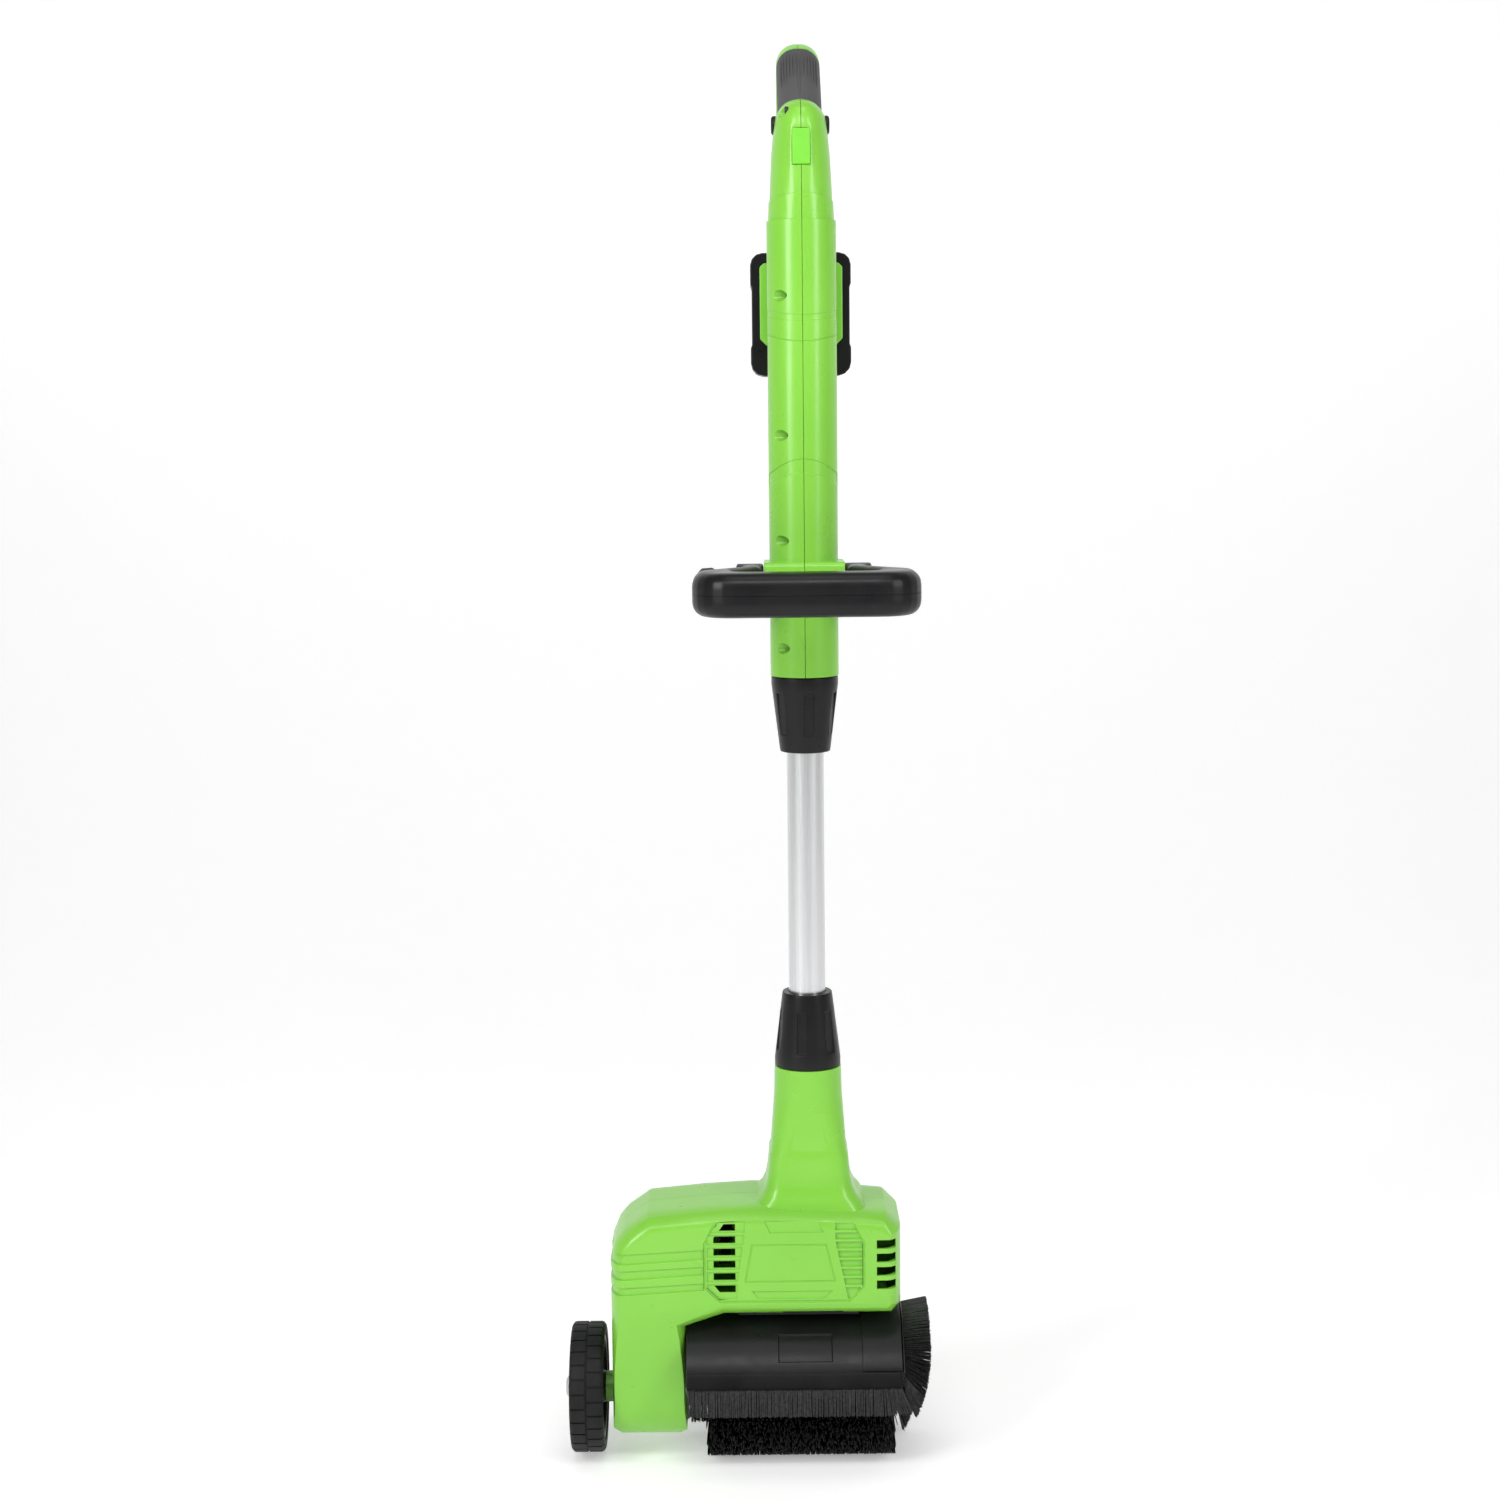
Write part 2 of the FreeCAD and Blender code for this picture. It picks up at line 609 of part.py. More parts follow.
def front_fields():
    """The ribbed surround of the left vent and the blind louvres beside the plate."""
    vent = [(-79, 149), (-79, 189), (-70.5, 200.5), (-49.5, 200.5), (-51, 186), (-56, 153),
            (-56, 140.5), (-70.5, 140.5)]
    blind = [(19, 199), (33, 199), (39.5, 185), (39.5, 150), (33, 139.5), (28.5, 139.5),
             (19, 186)]
    vent_ribs = [(151.8 + 9.7 * index, 153.8 + 9.7 * index) for index in range(5)]
    blind_ribs = [(191.8 - 7.2 * index, 193.7 - 7.2 * index) for index in range(7)]
    return ribbed_field(vent, 1.2, vent_ribs) + ribbed_field(blind, 2.2, blind_ribs)


HEAD_SCREWS = ((-136, 186), (-80, 196), (56, 188), (-142, 96), (-104, 100), (56, 135))


def make_head():
    depth, wall = number("head_depth"), number("wall")
    axle, counter = number("axle_height"), number(
        "motor_height - tooth_module * (wheel_teeth + pinion_teeth) / 2")
    motor, bottom, top = number("motor_height"), number("head_bottom"), number("head_top")
    left, leg, right = number("head_left"), number("leg_right"), number("head_right")
    tube, pole_end = number("tube_radius"), number("tube_bottom")
    outside = head_solid(0).fuse([neck_solid(), bar(12, number("wheel_right + gap"), left + 2,
                                                    0, axle)])

    # Ribs hold the motor, the bearings and the gear plate inside the hollow.
    ribs = []
    for x0, x1, z0, z1, bores in (
            (-38, -34, bottom, top, ((number("motor_radius"), motor),)),
            (6, 10, bottom, top, ((number("motor_radius"), motor),)),
            (leg - 12, leg - 3, axle - 40, axle + 25, ((14, axle),)),
            (left + 13, left + 20, axle - 40, axle + 25, ((14, axle),)),
            (left + 13, left + 19, counter - 16, counter + 16, ((10, counter),))):
        rib = box(x0, x1, -depth, depth, z0, z1)
        for radius, z in bores:
            rib = rib.cut(bar(radius, x0 - 1, x1 + 1, 0, z))
        ribs.append(rib)
    for x, z in HEAD_SCREWS:
        ribs.append(Part.makeCylinder(4.5, 2 * depth, Vector(x, -depth, z), Vector(0, 1, 0)))
    for x0, x1 in ((-86, -54), (42, right)):
        ribs.append(box(x0, x1, 26, 28.4, bottom, top))
    hollow = head_solid(wall).fuse(
        Part.makeCone(24, 20, pole_end - top + 8, Vector(0, 0, top - 10)))
    hollow = hollow.cut(ribs)

    tools = [hollow,
             Part.makeCylinder(tube, number("neck_top") - pole_end + 4, Vector(0, 0, pole_end)),
             bar(number("wheel_axle_radius"), number("wheel_left"), left + 6, 0, axle),
             bar(number("spindle_radius") + 0.5, leg - 5, leg + 5, 0, axle)]
    for x, z in HEAD_SCREWS:
        tools.append(Part.makeCylinder(3.9, 40, Vector(x, 20, z), Vector(0, 1, 0)))
        tools.append(Part.makeCylinder(1.9, 34, Vector(x, -13, z), Vector(0, 1, 0)))

    # Left vent beside the panel, wrapped corner vent at the right, both repeated at the rear.
    for side in (-1, 1):
        y0, y1 = sorted((side * (depth - 8), side * (depth + 2)))
        opening = [(-74, 151), (-74, 188), (-66, 199), (-57.4, 199), (-57.4, 142), (-67, 142)]
        opening = Part.Face(face_on_y(opening, -depth - 2)).extrude(Vector(0, 2 * depth + 4, 0))
        tools += [slot.common(opening)
                  for slot in slots(6, -74, -57.4, top - 64.8, 9.7, 5.4, y0, y1)]
        y0, y1 = sorted((side * (depth - 19), side * (depth + 2)))
        tools += slots(4, 50.5, 65, top - 63.2, 10.6, 6.8, y0, y1)

    # Front panel: a shallow octagonal edge, a raised plate and a louvred field beside it.
    panel = [(-81.5, 184), (-72.5, 202), (31.5, 202), (41.5, 184), (41.5, 148), (30.5, 137),
             (-69.5, 137), (-81.5, 149)]
    groove = Part.Face(face_on_y(panel, -depth - 1)).cut(
        Part.Face(face_on_y(inset(panel, 1.6), -depth - 1)))
    tools.append(groove.extrude(Vector(0, 1.9, 0)))
    plate = [(-45, 183), (12.5, 183), (19.5, 153), (-50.5, 153)]
    ring = Part.Face(face_on_y(plate, -depth - 1)).cut(
        Part.Face(face_on_y(inset(plate, 1.2), -depth - 1)))
    tools.append(ring.extrude(Vector(0, 1.7, 0)))
    tools += front_fields()
    core = head_solid(1.4)
    for index in range(3):
        high, low = top - 34.8 - 13.2 * index, top - 43 - 12.2 * index
        band = [(left - 2, low), (left - 2, high), (-82, high + 3.8), (-82, low + 4.6)]
        slab = Part.Face(face_on_y(band, -depth - 1)).extrude(Vector(0, depth, 0))
        tools.append(slab.cut(core))
    for pad in ([(-35, 201), (-31, 192), (10, 192), (6, 201)],
                [(-45, 146), (-40, 140), (11, 140), (17, 146)]):
        tools.append(Part.Face(face_on_y(pad, -depth - 1)).extrude(Vector(0, 2.1, 0)))
    notch = [(-25, bottom - 3), (-21, bottom + 4), (24, bottom + 4), (28, bottom - 3)]
    tools.append(Part.Face(face_on_y(notch, -depth - 1)).extrude(Vector(0, 26, 0)))

    shell = outside.cut(tools)
    reach = 400
    front = box(-reach, reach, -reach, 0, -reach, reach)
    rear = box(-reach, reach, 0, reach, -reach, reach)
    subpart(shaped("head_front", shell.common(front)), "head_shell_front")
    subpart(shaped("head_rear", shell.common(rear)), "head_shell_rear")
    screws = []
    for index, (x, z) in enumerate(HEAD_SCREWS):
        screws.append(rod(f"head_screw_{index}_shank", 1.9, -12, 20, "Y", (x, z)))
        screws.append(rod(f"head_screw_{index}_head", 3.6, 20, 22.6, "Y", (x, z)))
    subpart(fuse("head_screw_set", *screws), "head_screws")


# ---- pole and collars

def make_pole():
    subpart(turned("pole", [
        ("tube_bore", "tube_bottom"), ("tube_radius", "tube_bottom"),
        ("tube_radius", "tube_top"), ("tube_bore", "tube_top")]), "aluminium_tube")
    subpart(turned("collet_low", [
        ("tube_radius", "neck_top"), ("collet_radius", "neck_top"),
        ("collet_radius", "neck_top + collet_length - 2"),
        ("collet_radius - 2", "neck_top + collet_length"),
        ("tube_radius", "neck_top + collet_length")]), "lower_collet")
    subpart(turned("collet_high", [
        ("tube_radius + fit", "handle_bottom - collet_length"),
        ("collet_radius - 2", "handle_bottom - collet_length"),
        ("collet_radius", "handle_bottom - collet_length + 2"),
        ("collet_radius", "handle_bottom"), ("tube_radius + fit", "handle_bottom")]),
        "upper_collet")
    subpart(turned("bush", [
        ("tube_radius + fit", "handle_bottom + 2"), ("handle_bore", "handle_bottom + 2"),
        ("handle_bore", "handle_bottom + 34"), ("tube_radius + fit", "handle_bottom + 34")]),
        "tube_guide_bush")


def make_collar(name, label, z, turn):
    """A tapered twist collar with grooves for the fingers; its wide end is at its own z = 0."""
    bore, mouth = "tube_radius + gap + 0.1", "collet_radius + gap"
    body = turned(name, [
        (mouth, 0), ("collar_wide - 0.8", 0), ("collar_wide", 0.8), ("collar_wide", 6),
        ("collar_narrow + 0.5", "collar_length - 3"), ("collar_narrow", "collar_length"),
        (bore, "collar_length"), (bore, "collet_length + 3"), (mouth, "collet_length + 3")],
        z=z, turn=turn)
    slope = "(collar_wide - collar_narrow - 0.5) / (collar_length - 9)"
    low, high = 11, 45
    groove = pocket(body, [
        (f"collar_wide - {slope} * ({low} - 6) - 1.7", low + 2),
        (f"collar_wide - {slope} * ({high} - 6) - 0.3", high - 1),
        (f"collar_wide - {slope} * ({high} - 6) + 3", high + 2),
        (f"collar_wide - {slope} * ({low} - 6) + 3", low - 2)], 7.5)
    subpart(repeat_round(body, groove, 6, "Z_Axis"), label)


# ---- handle housing

def grip_frame():
    """Start and direction of the grip's straight line, in the plane x = 0."""
    start = Vector(0, number("grip_start_y"), number("grip_start_z"))
    end = Vector(0, number("grip_end_y"), number("grip_end_z"))
    return start, (end - start).normalize()


def loop_path():
    """Edges of the handle's loop: up the grip, down the rear post, back to the housing."""
    base_z = number("loop_base_z")
    start = grip_frame()[0]
    corners = [start, Vector(0, number("grip_end_y"), number("grip_end_z")),
               Vector(0, number("loop_base_y"), base_z), Vector(0, start.y, base_z)]
    bend = number("loop_bend")
    edges = []
    here = corners[0]
    for index in (1, 2):
        corner = corners[index]
        back = (corners[index - 1] - corner).normalize()
        ahead = (corners[index + 1] - corner).normalize()
        half = back.getAngle(ahead) / 2
        reach = bend / math.tan(half)
        enter, leave = corner + back * reach, corner + ahead * reach
        middle_way = (back + ahead).normalize()
        middle = corner + middle_way * (bend / math.sin(half) - bend)
        edges.append(Part.LineSegment(here, enter).toShape())
        edges.append(Part.Arc(enter, middle, leave).toShape())
        here = leave
    edges.append(Part.LineSegment(here, corners[3]).toShape())
    return edges


def section_frame(point, direction):
    """A frame whose Z runs along the direction and whose X runs across the handle."""
    up = direction.cross(Vector(1, 0, 0))
    return Placement(point, Rotation(Vector(1, 0, 0), up, direction, "ZXY"))


def swept(edges, width, height, radius):
    """A rounded rectangular bar along a chain of edges that starts with a straight one."""
    start = edges[0].Vertexes[0].Point
    direction = (edges[0].Vertexes[1].Point - start).normalize()
    profile = rounded_rectangle(width, height, radius, section_frame(start, direction))
    return Part.Wire(edges).makePipeShell([profile], True, True)


def half_ellipse(z, half_width, half_depth, y, side):
    """Half an ellipse at one height, in short straight edges, closed along x = 0."""
    steps = 16
    points = []
    for step in range(steps + 1):
        turn = math.pi * step / steps
        points.append(Vector(side * half_width * math.sin(turn),
                             y - half_depth * math.cos(turn), z))
    return Part.makePolygon(points + points[:1])


def upper_half(side):
    """One half of the housing above the shoulder, closed by a rounded nose."""
    radius, shoulder, nose = number("handle_radius"), number("shoulder"), number("nose_height")
    wide, deep, shift = number("nose_width"), number("nose_depth"), number("nose_shift")
    sections = [(shoulder - 0.5, radius - 2, radius - 1.2, 0),
                (shoulder + 24, radius - 2.9, radius + 0.8, shift * 0.35),
                (shoulder + 48, radius - 4.1, deep - 0.6, shift * 0.75),
                (nose, wide, deep - 0.8, shift)]
    for angle in (20, 38, 54, 68, 80):
        turn = math.radians(angle)
        shrink = math.cos(turn)
        sections.append((nose + wide * math.sin(turn), wide * shrink, (deep - 0.8) * shrink,
                         shift))
    upper = Part.makeLoft([half_ellipse(*section, side) for section in sections], True, True)
    sleeve = [half_ellipse(z, half_width + 0.7, half_depth + 0.7, y, side)
              for z, half_width, half_depth, y in sections[:2]]
    under_arch = Part.Face(face_on_y(arch(shoulder + 19, 8) + [(30, shoulder - 2),
                                                               (-30, shoulder - 2)], -60))
    sleeve = Part.makeLoft(sleeve, True, True).common(under_arch.extrude(Vector(0, 120, 0)))
    return upper.fuse(sleeve)


def arch(middle, drop):
    """Points (x, z) of a shallow arch across the housing, left to right."""
    half, steps = 30, 10
    points = []
    for step in range(steps + 1):
        x = half * (2 * step / steps - 1)
        points.append((x, middle - drop * (x / half) ** 2))
    return points


def column_band(middle, drop, height, depth):
    """A shallow band that crosses the front of the round housing along an arch."""
    outline = arch(middle, drop) + arch(middle - height, drop)[::-1]
    radius = number("handle_radius")
    slab = Part.Face(face_on_y(outline, -radius - 2)).extrude(Vector(0, radius, 0))
    core = Part.makeCylinder(radius - depth, 400, Vector(0, 0, middle - 200))
    return slab.cut(core)


HANDLE_SCREWS = ((-19, 636), (-19, 716), (-19, 794), (-19, 896), (-10, 1029))
SCREW_HALF = 9
PIN_HALF = 10.4


def make_handle():
    radius, bottom = number("handle_radius"), number("handle_bottom")
    shoulder, nose = number("shoulder"), number("nose_height")
    shift, bore = number("nose_shift"), number("handle_bore")
    pivot, boss = number("pivot_height"), number("pivot_boss")
    stud = number("stud_radius")
    size, rounding, wall = number("grip_size"), number("grip_round"), number("wall")

    column = Part.makeCylinder(radius, shoulder - bottom, Vector(0, 0, bottom))
    edges = loop_path()
    boss_block = box(-boss, boss, -28, 20, pivot - 18, pivot + 18.5)
    boss_block = boss_block.makeFillet(4, [edge for edge in boss_block.Edges
                                           if abs(edge.tangentAt(edge.FirstParameter).x) > 0.9])
    full = size + 2 * number("rubber")
    loop = swept(edges, full, full, rounding + 1.5)

    hollow_top = nose - 4
    tools = [Part.makeCylinder(bore, hollow_top - bottom + 1, Vector(0, 0, bottom - 1)),
             swept(edges, size - 2 * wall, size - 2 * wall, rounding - wall)]
    tools.append(grip_box(24, 60.5, 6.4, -40, -8))
    for side in (-1, 1):
        shank = sorted((side * 21, side * 40))
        flange = sorted((side * 16, side * 21))
        tools.append(bar(stud, *shank, 0, pivot))
        tools.append(bar(7, *flange, 0, pivot))
    tools.append(bar(7.3, -40, 40, shift + 2, nose + 1))
    for y, z in HANDLE_SCREWS:
        tools.append(bar(1.9, -SCREW_HALF - 1, SCREW_HALF, y, z))
        tools.append(bar(4.1, -40, -SCREW_HALF - 1.9, y, z))
        tools.append(bar(3.6, -SCREW_HALF - 2.6, -SCREW_HALF, y, z))
    tools.append(tab_block(6.9, 0.3, 6))
    tools.append(column_band(shoulder - 88, -7, 0.9, 0.5))
    tools.append(column_band(shoulder - 69, -5, 4.5, 0.3))
    tools.append(column_band(shoulder - 174, 16, 10, 0.6))
    cover_path = [edges[0], edges[1]]
    recess = swept(cover_path, full + 1, full + 1, rounding + 2)
    tools.append(recess.cut(swept(cover_path, size, size, rounding)).common(cover_zone(0.05)))
    tools.append(bar(2, -PIN_HALF, PIN_HALF, *trigger_pivot()))
    for side, word in ((-1, "left"), (1, "right")):
        x0, x1 = sorted((0, 60 * side))
        half_space = box(x0, x1, -60, 160, bottom - 10, 1150)
        shell = column.common(half_space).fuse(upper_half(side))
        for solid in (loop, boss_block):
            shell = shell.fuse(solid.common(half_space))
        for tool in tools:
            shell = shell.cut(tool)
        subpart(shaped(f"handle_{word}", shell), f"handle_shell_{word}")

    outer = swept(cover_path, full, full, rounding + 1.5)
    inner = swept(cover_path, size + 0.04, size + 0.04, rounding)
    cover = outer.cut(inner).common(cover_zone(0))
    subpart(shaped("cover", cover.cut([grip_box(23.5, 61, 6.9, -40, 0)])), "grip_overmold")


def cover_zone(margin):
    """The stretch of the grip that has the soft cover: from the nose to just past the bend."""
    first, last = 5 - margin, 80 + margin
    corners = [grip_point(first, 40), grip_point(first, -40), grip_point(last - 20, -40),
               grip_point(last, 40)]
    return Part.Face(face_on_x(corners, -40)).extrude(Vector(80, 0, 0))


def tab_block(half_width, margin, proud):
    """The strap tab's block, leaning with the front of the housing; margin grows it all round."""
    low, high = 990 - margin, 1016 + margin
    outline = [(-24.0 - proud, low), (-22.3 - proud, high), (-20.4 + margin, high),
               (-22.1 + margin, low)]
    return Part.Face(face_on_x(outline, -half_width)).extrude(Vector(2 * half_width, 0, 0))


def grip_point(along, above):
    """A point (y, z) of the grip's own frame: along its line and above it."""
    start, direction = grip_frame()
    return (start.y + direction.y * along - direction.z * above,
            start.z + direction.z * along + direction.y * above)


def grip_box(along0, along1, half_width, above0, above1):
    """A box in the grip's frame."""
    corners = [grip_point(along0, above0), grip_point(along0, above1),
               grip_point(along1, above1), grip_point(along1, above0)]
    return Part.Face(face_on_x(corners, -half_width)).extrude(Vector(2 * half_width, 0, 0))


def trigger_pivot():
    """The trigger's pivot as (y, z)."""
    return grip_point(56.5, -9)


def make_handle_fittings():
    # Trigger: a curved finger lever on a pin at its rear end.
    outline = [grip_point(*corner) for corner in (
        (26, -11), (30, -9.5), (50, -6.5), (59.5, -6.5), (59.5, -12), (55, -16), (48, -21),
        (40, -23.5), (33, -23), (28, -20), (26, -16))]
    lever = Part.Face(face_on_x(outline, -6)).extrude(Vector(12, 0, 0))
    pin_y, pin_z = trigger_pivot()
    lever = lever.cut(bar(2 + number("fit"), -8, 8, pin_y, pin_z))
    subpart(shaped("lever", lever), "trigger")
    subpart(rod("lever_pin", 2, -PIN_HALF, PIN_HALF, "X", (pin_y, pin_z)), "trigger_pin")
    subpart(shaped("switch", grip_box(28, 52, 7, -3, 8)), "trigger_switch")

    subpart(on_axle("button", [
        (-21.6, 0), (-21.6, 5.6), (-20.4, 7), (-9, 7), (-9, 5), (9, 5), (9, 7), (20.4, 7),
        (21.6, 5.6), (21.6, 0)], "nose_height + 1"), "lock_off_button")
    SUBPARTS[-1].setExpression("Placement.Base.y", formula("nose_shift + 2"))

    subpart(block("board", (-13, -3, "rail_bottom"), (13, -1.4, "rail_top + 3")),
            "control_board")
    subpart(shaped("tab", tab_block(6.6, 0, 0.6)), "strap_tab")

    screws = []
    for index, (y, z) in enumerate(HANDLE_SCREWS):
        screws.append(rod(f"handle_screw_{index}_shank", 1.9, -SCREW_HALF, SCREW_HALF, "X",
                          (y, z)))
        screws.append(rod(f"handle_screw_{index}_head", 3.6, -SCREW_HALF - 2.6, -SCREW_HALF,
                          "X", (y, z)))
    subpart(fuse("handle_screw_set", *screws), "handle_screws")


# ---- battery and its mount

def make_battery():
    flange = padded("mount_blank", [
        (-31, "rail_bottom + 5"), (-31, "rail_top - 3"), (-28, "rail_top"), (28, "rail_top"),
        (31, "rail_top - 3"), (31, "rail_bottom + 5"), (26, "rail_bottom"),
        (-26, "rail_bottom")], 14, y="battery_front - 7.4")
    neck = block("rail_neck_bar", ("-rail_neck", "battery_front - 1", "rail_bottom"),
                 ("rail_neck", "battery_front + 3", "rail_top"))
    rail = block("rail_head_bar", ("-rail_head", "battery_front + 3", "rail_bottom"),
                 ("rail_head", "battery_front + 6", "rail_top"))
    clearance = rod("mount_clearance", "handle_radius", "rail_bottom - 5", "rail_top + 5")
    subpart(cut("mount", fuse("mount_solid", flange, neck, rail), clearance), "battery_mount")

    subpart(block("terminals", (-12, "battery_front - 8", "rail_top + 0.2"),
                  (12, "battery_front - 0.6", "battery_top - 1")), "battery_terminal_block")

    half, low, high = "battery_half", "battery_bottom", "battery_top"
    left_side = [
        (10, f"{low}"), (5, f"{low} + 1.3"), (1.3, f"{low} + 5"), (0, f"{low} + 10"),
        (0, f"{low} + 21"), (1, f"{low} + 24"), (1, f"{high} - 26"), (0, f"{high} - 23"),
        (0, f"{high} - 9"), (1.2, f"{high} - 4.5"), (4.5, f"{high} - 1.2"), (9, f"{high}")]
    outline = [(f"{inwards} - {half}", z) for inwards, z in left_side]
    outline += [(f"{half} - {inwards}", z) for inwards, z in left_side[::-1]]
    case = padded("case_blank", outline, "battery_split - battery_front",
                  y="(battery_split + battery_front) / 2")
    hollow = block("case_hollow", ("4.4 - battery_half", "battery_front + 9", f"{low} + 3"),
                   ("battery_half - 4.4", "battery_split", f"{high} - 3"))
    neck_slot = block("case_neck_slot", ("-rail_neck - gap", "battery_front - 1", f"{low} + 14"),
                      ("rail_neck + gap", "battery_front + 4", f"{high} + 1"))
    head_slot = block("case_head_slot",
                      ("-rail_head - gap", "battery_front + 3 - gap", f"{low} + 14"),
                      ("rail_head + gap", "battery_front + 6 + gap", f"{high} + 1"))
    subpart(cut("case", case, hollow, neck_slot, head_slot), "battery_case")

    cover = padded("cover_blank", outline, "battery_back - battery_split",
                   y="(battery_back + battery_split) / 2")
    cover_hollow = block("cover_hollow", ("4.4 - battery_half", "battery_split", f"{low} + 3"),
                         ("battery_half - 4.4", "battery_back - wall", f"{high} - 3"))
    window = block("cover_window", (-13, "battery_back - 5", f"{high} - 29"),
                   (13, "battery_back + 2", f"{high} - 11"))
    subpart(cut("battery_rear", cover, cover_hollow, window), "battery_cover")

    cells = []
    for index, (y, z) in enumerate(((53, 865), (53, 885), (53, 905), (71, 857), (71, 877))):
        cells.append(rod(f"cell_{index}", 9, -32.5, 32.5, "X", (y, z)))
    subpart(fuse("cell_set", *cells), "battery_cells")

    press = block("release_pad", ("gap - 13", "battery_back - 4.5", f"{high} - 29 + gap"),
                  ("13 - gap", "battery_back + 2", f"{high} - 11 - gap"))
    lip = block("release_lip", (-15, "battery_back - 6.5", f"{high} - 31"),
                (15, "battery_back - 4.5", f"{high} - 9"))
    subpart(fuse("release", press, lip), "battery_release_button")


# ---- front handle

def loop_outline(points_right):
    """A closed outline of (x, y) points, mirrored about x = 0. The right half runs front to back."""
    mirrored = [(-x, y) for x, y in reversed(points_right)]
    return points_right + mirrored


def rounded_front(half, reach, radius, steps=6):
    """Points of a rounded front right corner, from the middle of the front to the side."""
    points = []
    for step in range(steps + 1):
        turn = math.radians(90 * step / steps)
        points.append((half - radius + radius * math.sin(turn),
                       -reach + radius - radius * math.cos(turn)))
    return points


def rounded_slab(outline, middle, half_height, rounding):
    """A block over an (x, y) outline with rounded rims; a negative rounding flares them out."""
    steps = 4
    stations = []
    for step in range(steps + 1):
        turn = math.pi / 2 * step / steps
        stations.append((half_height - abs(rounding) * (1 - math.cos(turn)),
                         rounding * (1 - math.sin(turn))))
    stations = [(-height, inwards) for height, inwards in stations] + stations[::-1]
    wires = []
    for height, inwards in stations:
        corners = [Vector(x, y, middle + height) for x, y in inset(outline, -inwards)]
        wires.append(Part.makePolygon(corners + corners[:1]))
    return Part.makeLoft(wires, True, True)


def make_front_handle():
    half, reach, bar_height = number("loop_half"), number("loop_reach"), number("loop_bar")
    hub, outer_face = number("hub_radius"), number("hub_outer")
    inner_face = number("pivot_boss + gap")
    pivot = number("pivot_height")
    outer = rounded_front(half, reach, 30) + [(half, -66), (outer_face, -24), (outer_face, 0)]
    inner = rounded_front(half - 31, reach - 31, 14) + [(half - 31, -60),
                                                        (inner_face, -24), (inner_face, 0)]
    solid = rounded_slab(loop_outline(outer), pivot, bar_height / 2, 10)
    solid = solid.cut(rounded_slab(loop_outline(inner), pivot, bar_height / 2, -8))
    for side in (-1, 1):
        x0, x1 = sorted((side * inner_face, side * outer_face))
        solid = solid.fuse(bar(hub, x0, x1, 0, pivot))
    bore = number("stud_radius + fit")
    solid = solid.cut(bar(bore, -outer_face - 1, outer_face + 1, 0, pivot))
    upper = box(-200, 200, -200, 200, pivot, pivot + 100)
    lower = box(-200, 200, -200, 200, pivot - 100, pivot)
    subpart(shaped("loop_upper", solid.common(upper)), "front_handle_upper")
    subpart(shaped("loop_lower", solid.common(lower)), "front_handle_lower")


def make_pivot_hardware():
    studs = []
    for side, far in ((-1, 64), (1, 56)):
        flange = sorted((side * 17.4, side * 21))
        shank = sorted((side * 21, side * far))
        studs.append(rod(f"stud_flange_{side + 1}", 7, *flange, "X", (0, "pivot_height")))
        studs.append(rod(f"stud_shank_{side + 1}", "stud_radius", *shank, "X",
                         (0, "pivot_height")))
    subpart(fuse("stud_set", *studs), "pivot_studs")
    nut = doc.addObject("Part::Prism", "pivot_nut_blank")
    nut.Polygon = 6
    bind(nut, Circumradius=8, Height=6)
    place(nut, "hub_outer + gap", 0, "pivot_height", TO_X)
    hole = rod("pivot_nut_bore", "stud_radius", "hub_outer", "hub_outer + 5", "X",
               (0, "pivot_height"))
    subpart(cut("pivot_nut", nut, hole), "pivot_nut")

    knob = on_axle("knob", [
        (-80, 0), (-80, 10), (-77, 13.5), (-69, 14), (-66, 12), (-64.5, 8),
        ("-hub_outer - gap", 8), ("-hub_outer - gap", "stud_radius + fit"),
        (-65, "stud_radius + fit"), (-65, 0)], "pivot_height")
    flute = pocket(knob, [(-82, 12.2), (-67.5, 12.2), (-67.5, 17), (-82, 17)], 5.5)
    subpart(repeat_round(knob, flute, 6, "X_Axis"), "clamp_knob")


# ---- guard and skirt

def sector(name, radius, left, right, rear, front):
    """A slice of a cylinder about the axle, between two angles measured forward of straight up."""
    item = doc.addObject("Part::Cylinder", name)
    bind(item, Radius=radius, Height=f"({right}) - ({left})", Angle=f"({front}) - ({rear})")
    from_up = Rotation(Vector(0, 0, 1), Vector(0, -1, 0), Vector(1, 0, 0), "ZXY")
    turn = Rotation(Vector(1, 0, 0), number(rear)) * from_up
    place(item, left, 0, "axle_height", turn)
    return item


def arc_plate(name, inner, outer, left, right, rear="guard_rear", front="guard_front"):
    """A curved plate about the axle."""
    outside = sector(f"{name}_outside", outer, left, right, rear, front)
    inside = rod(f"{name}_inside", inner, f"{left} - 1", f"{right} + 1", "X", (0, "axle_height"))
    return cut(name, outside, inside)


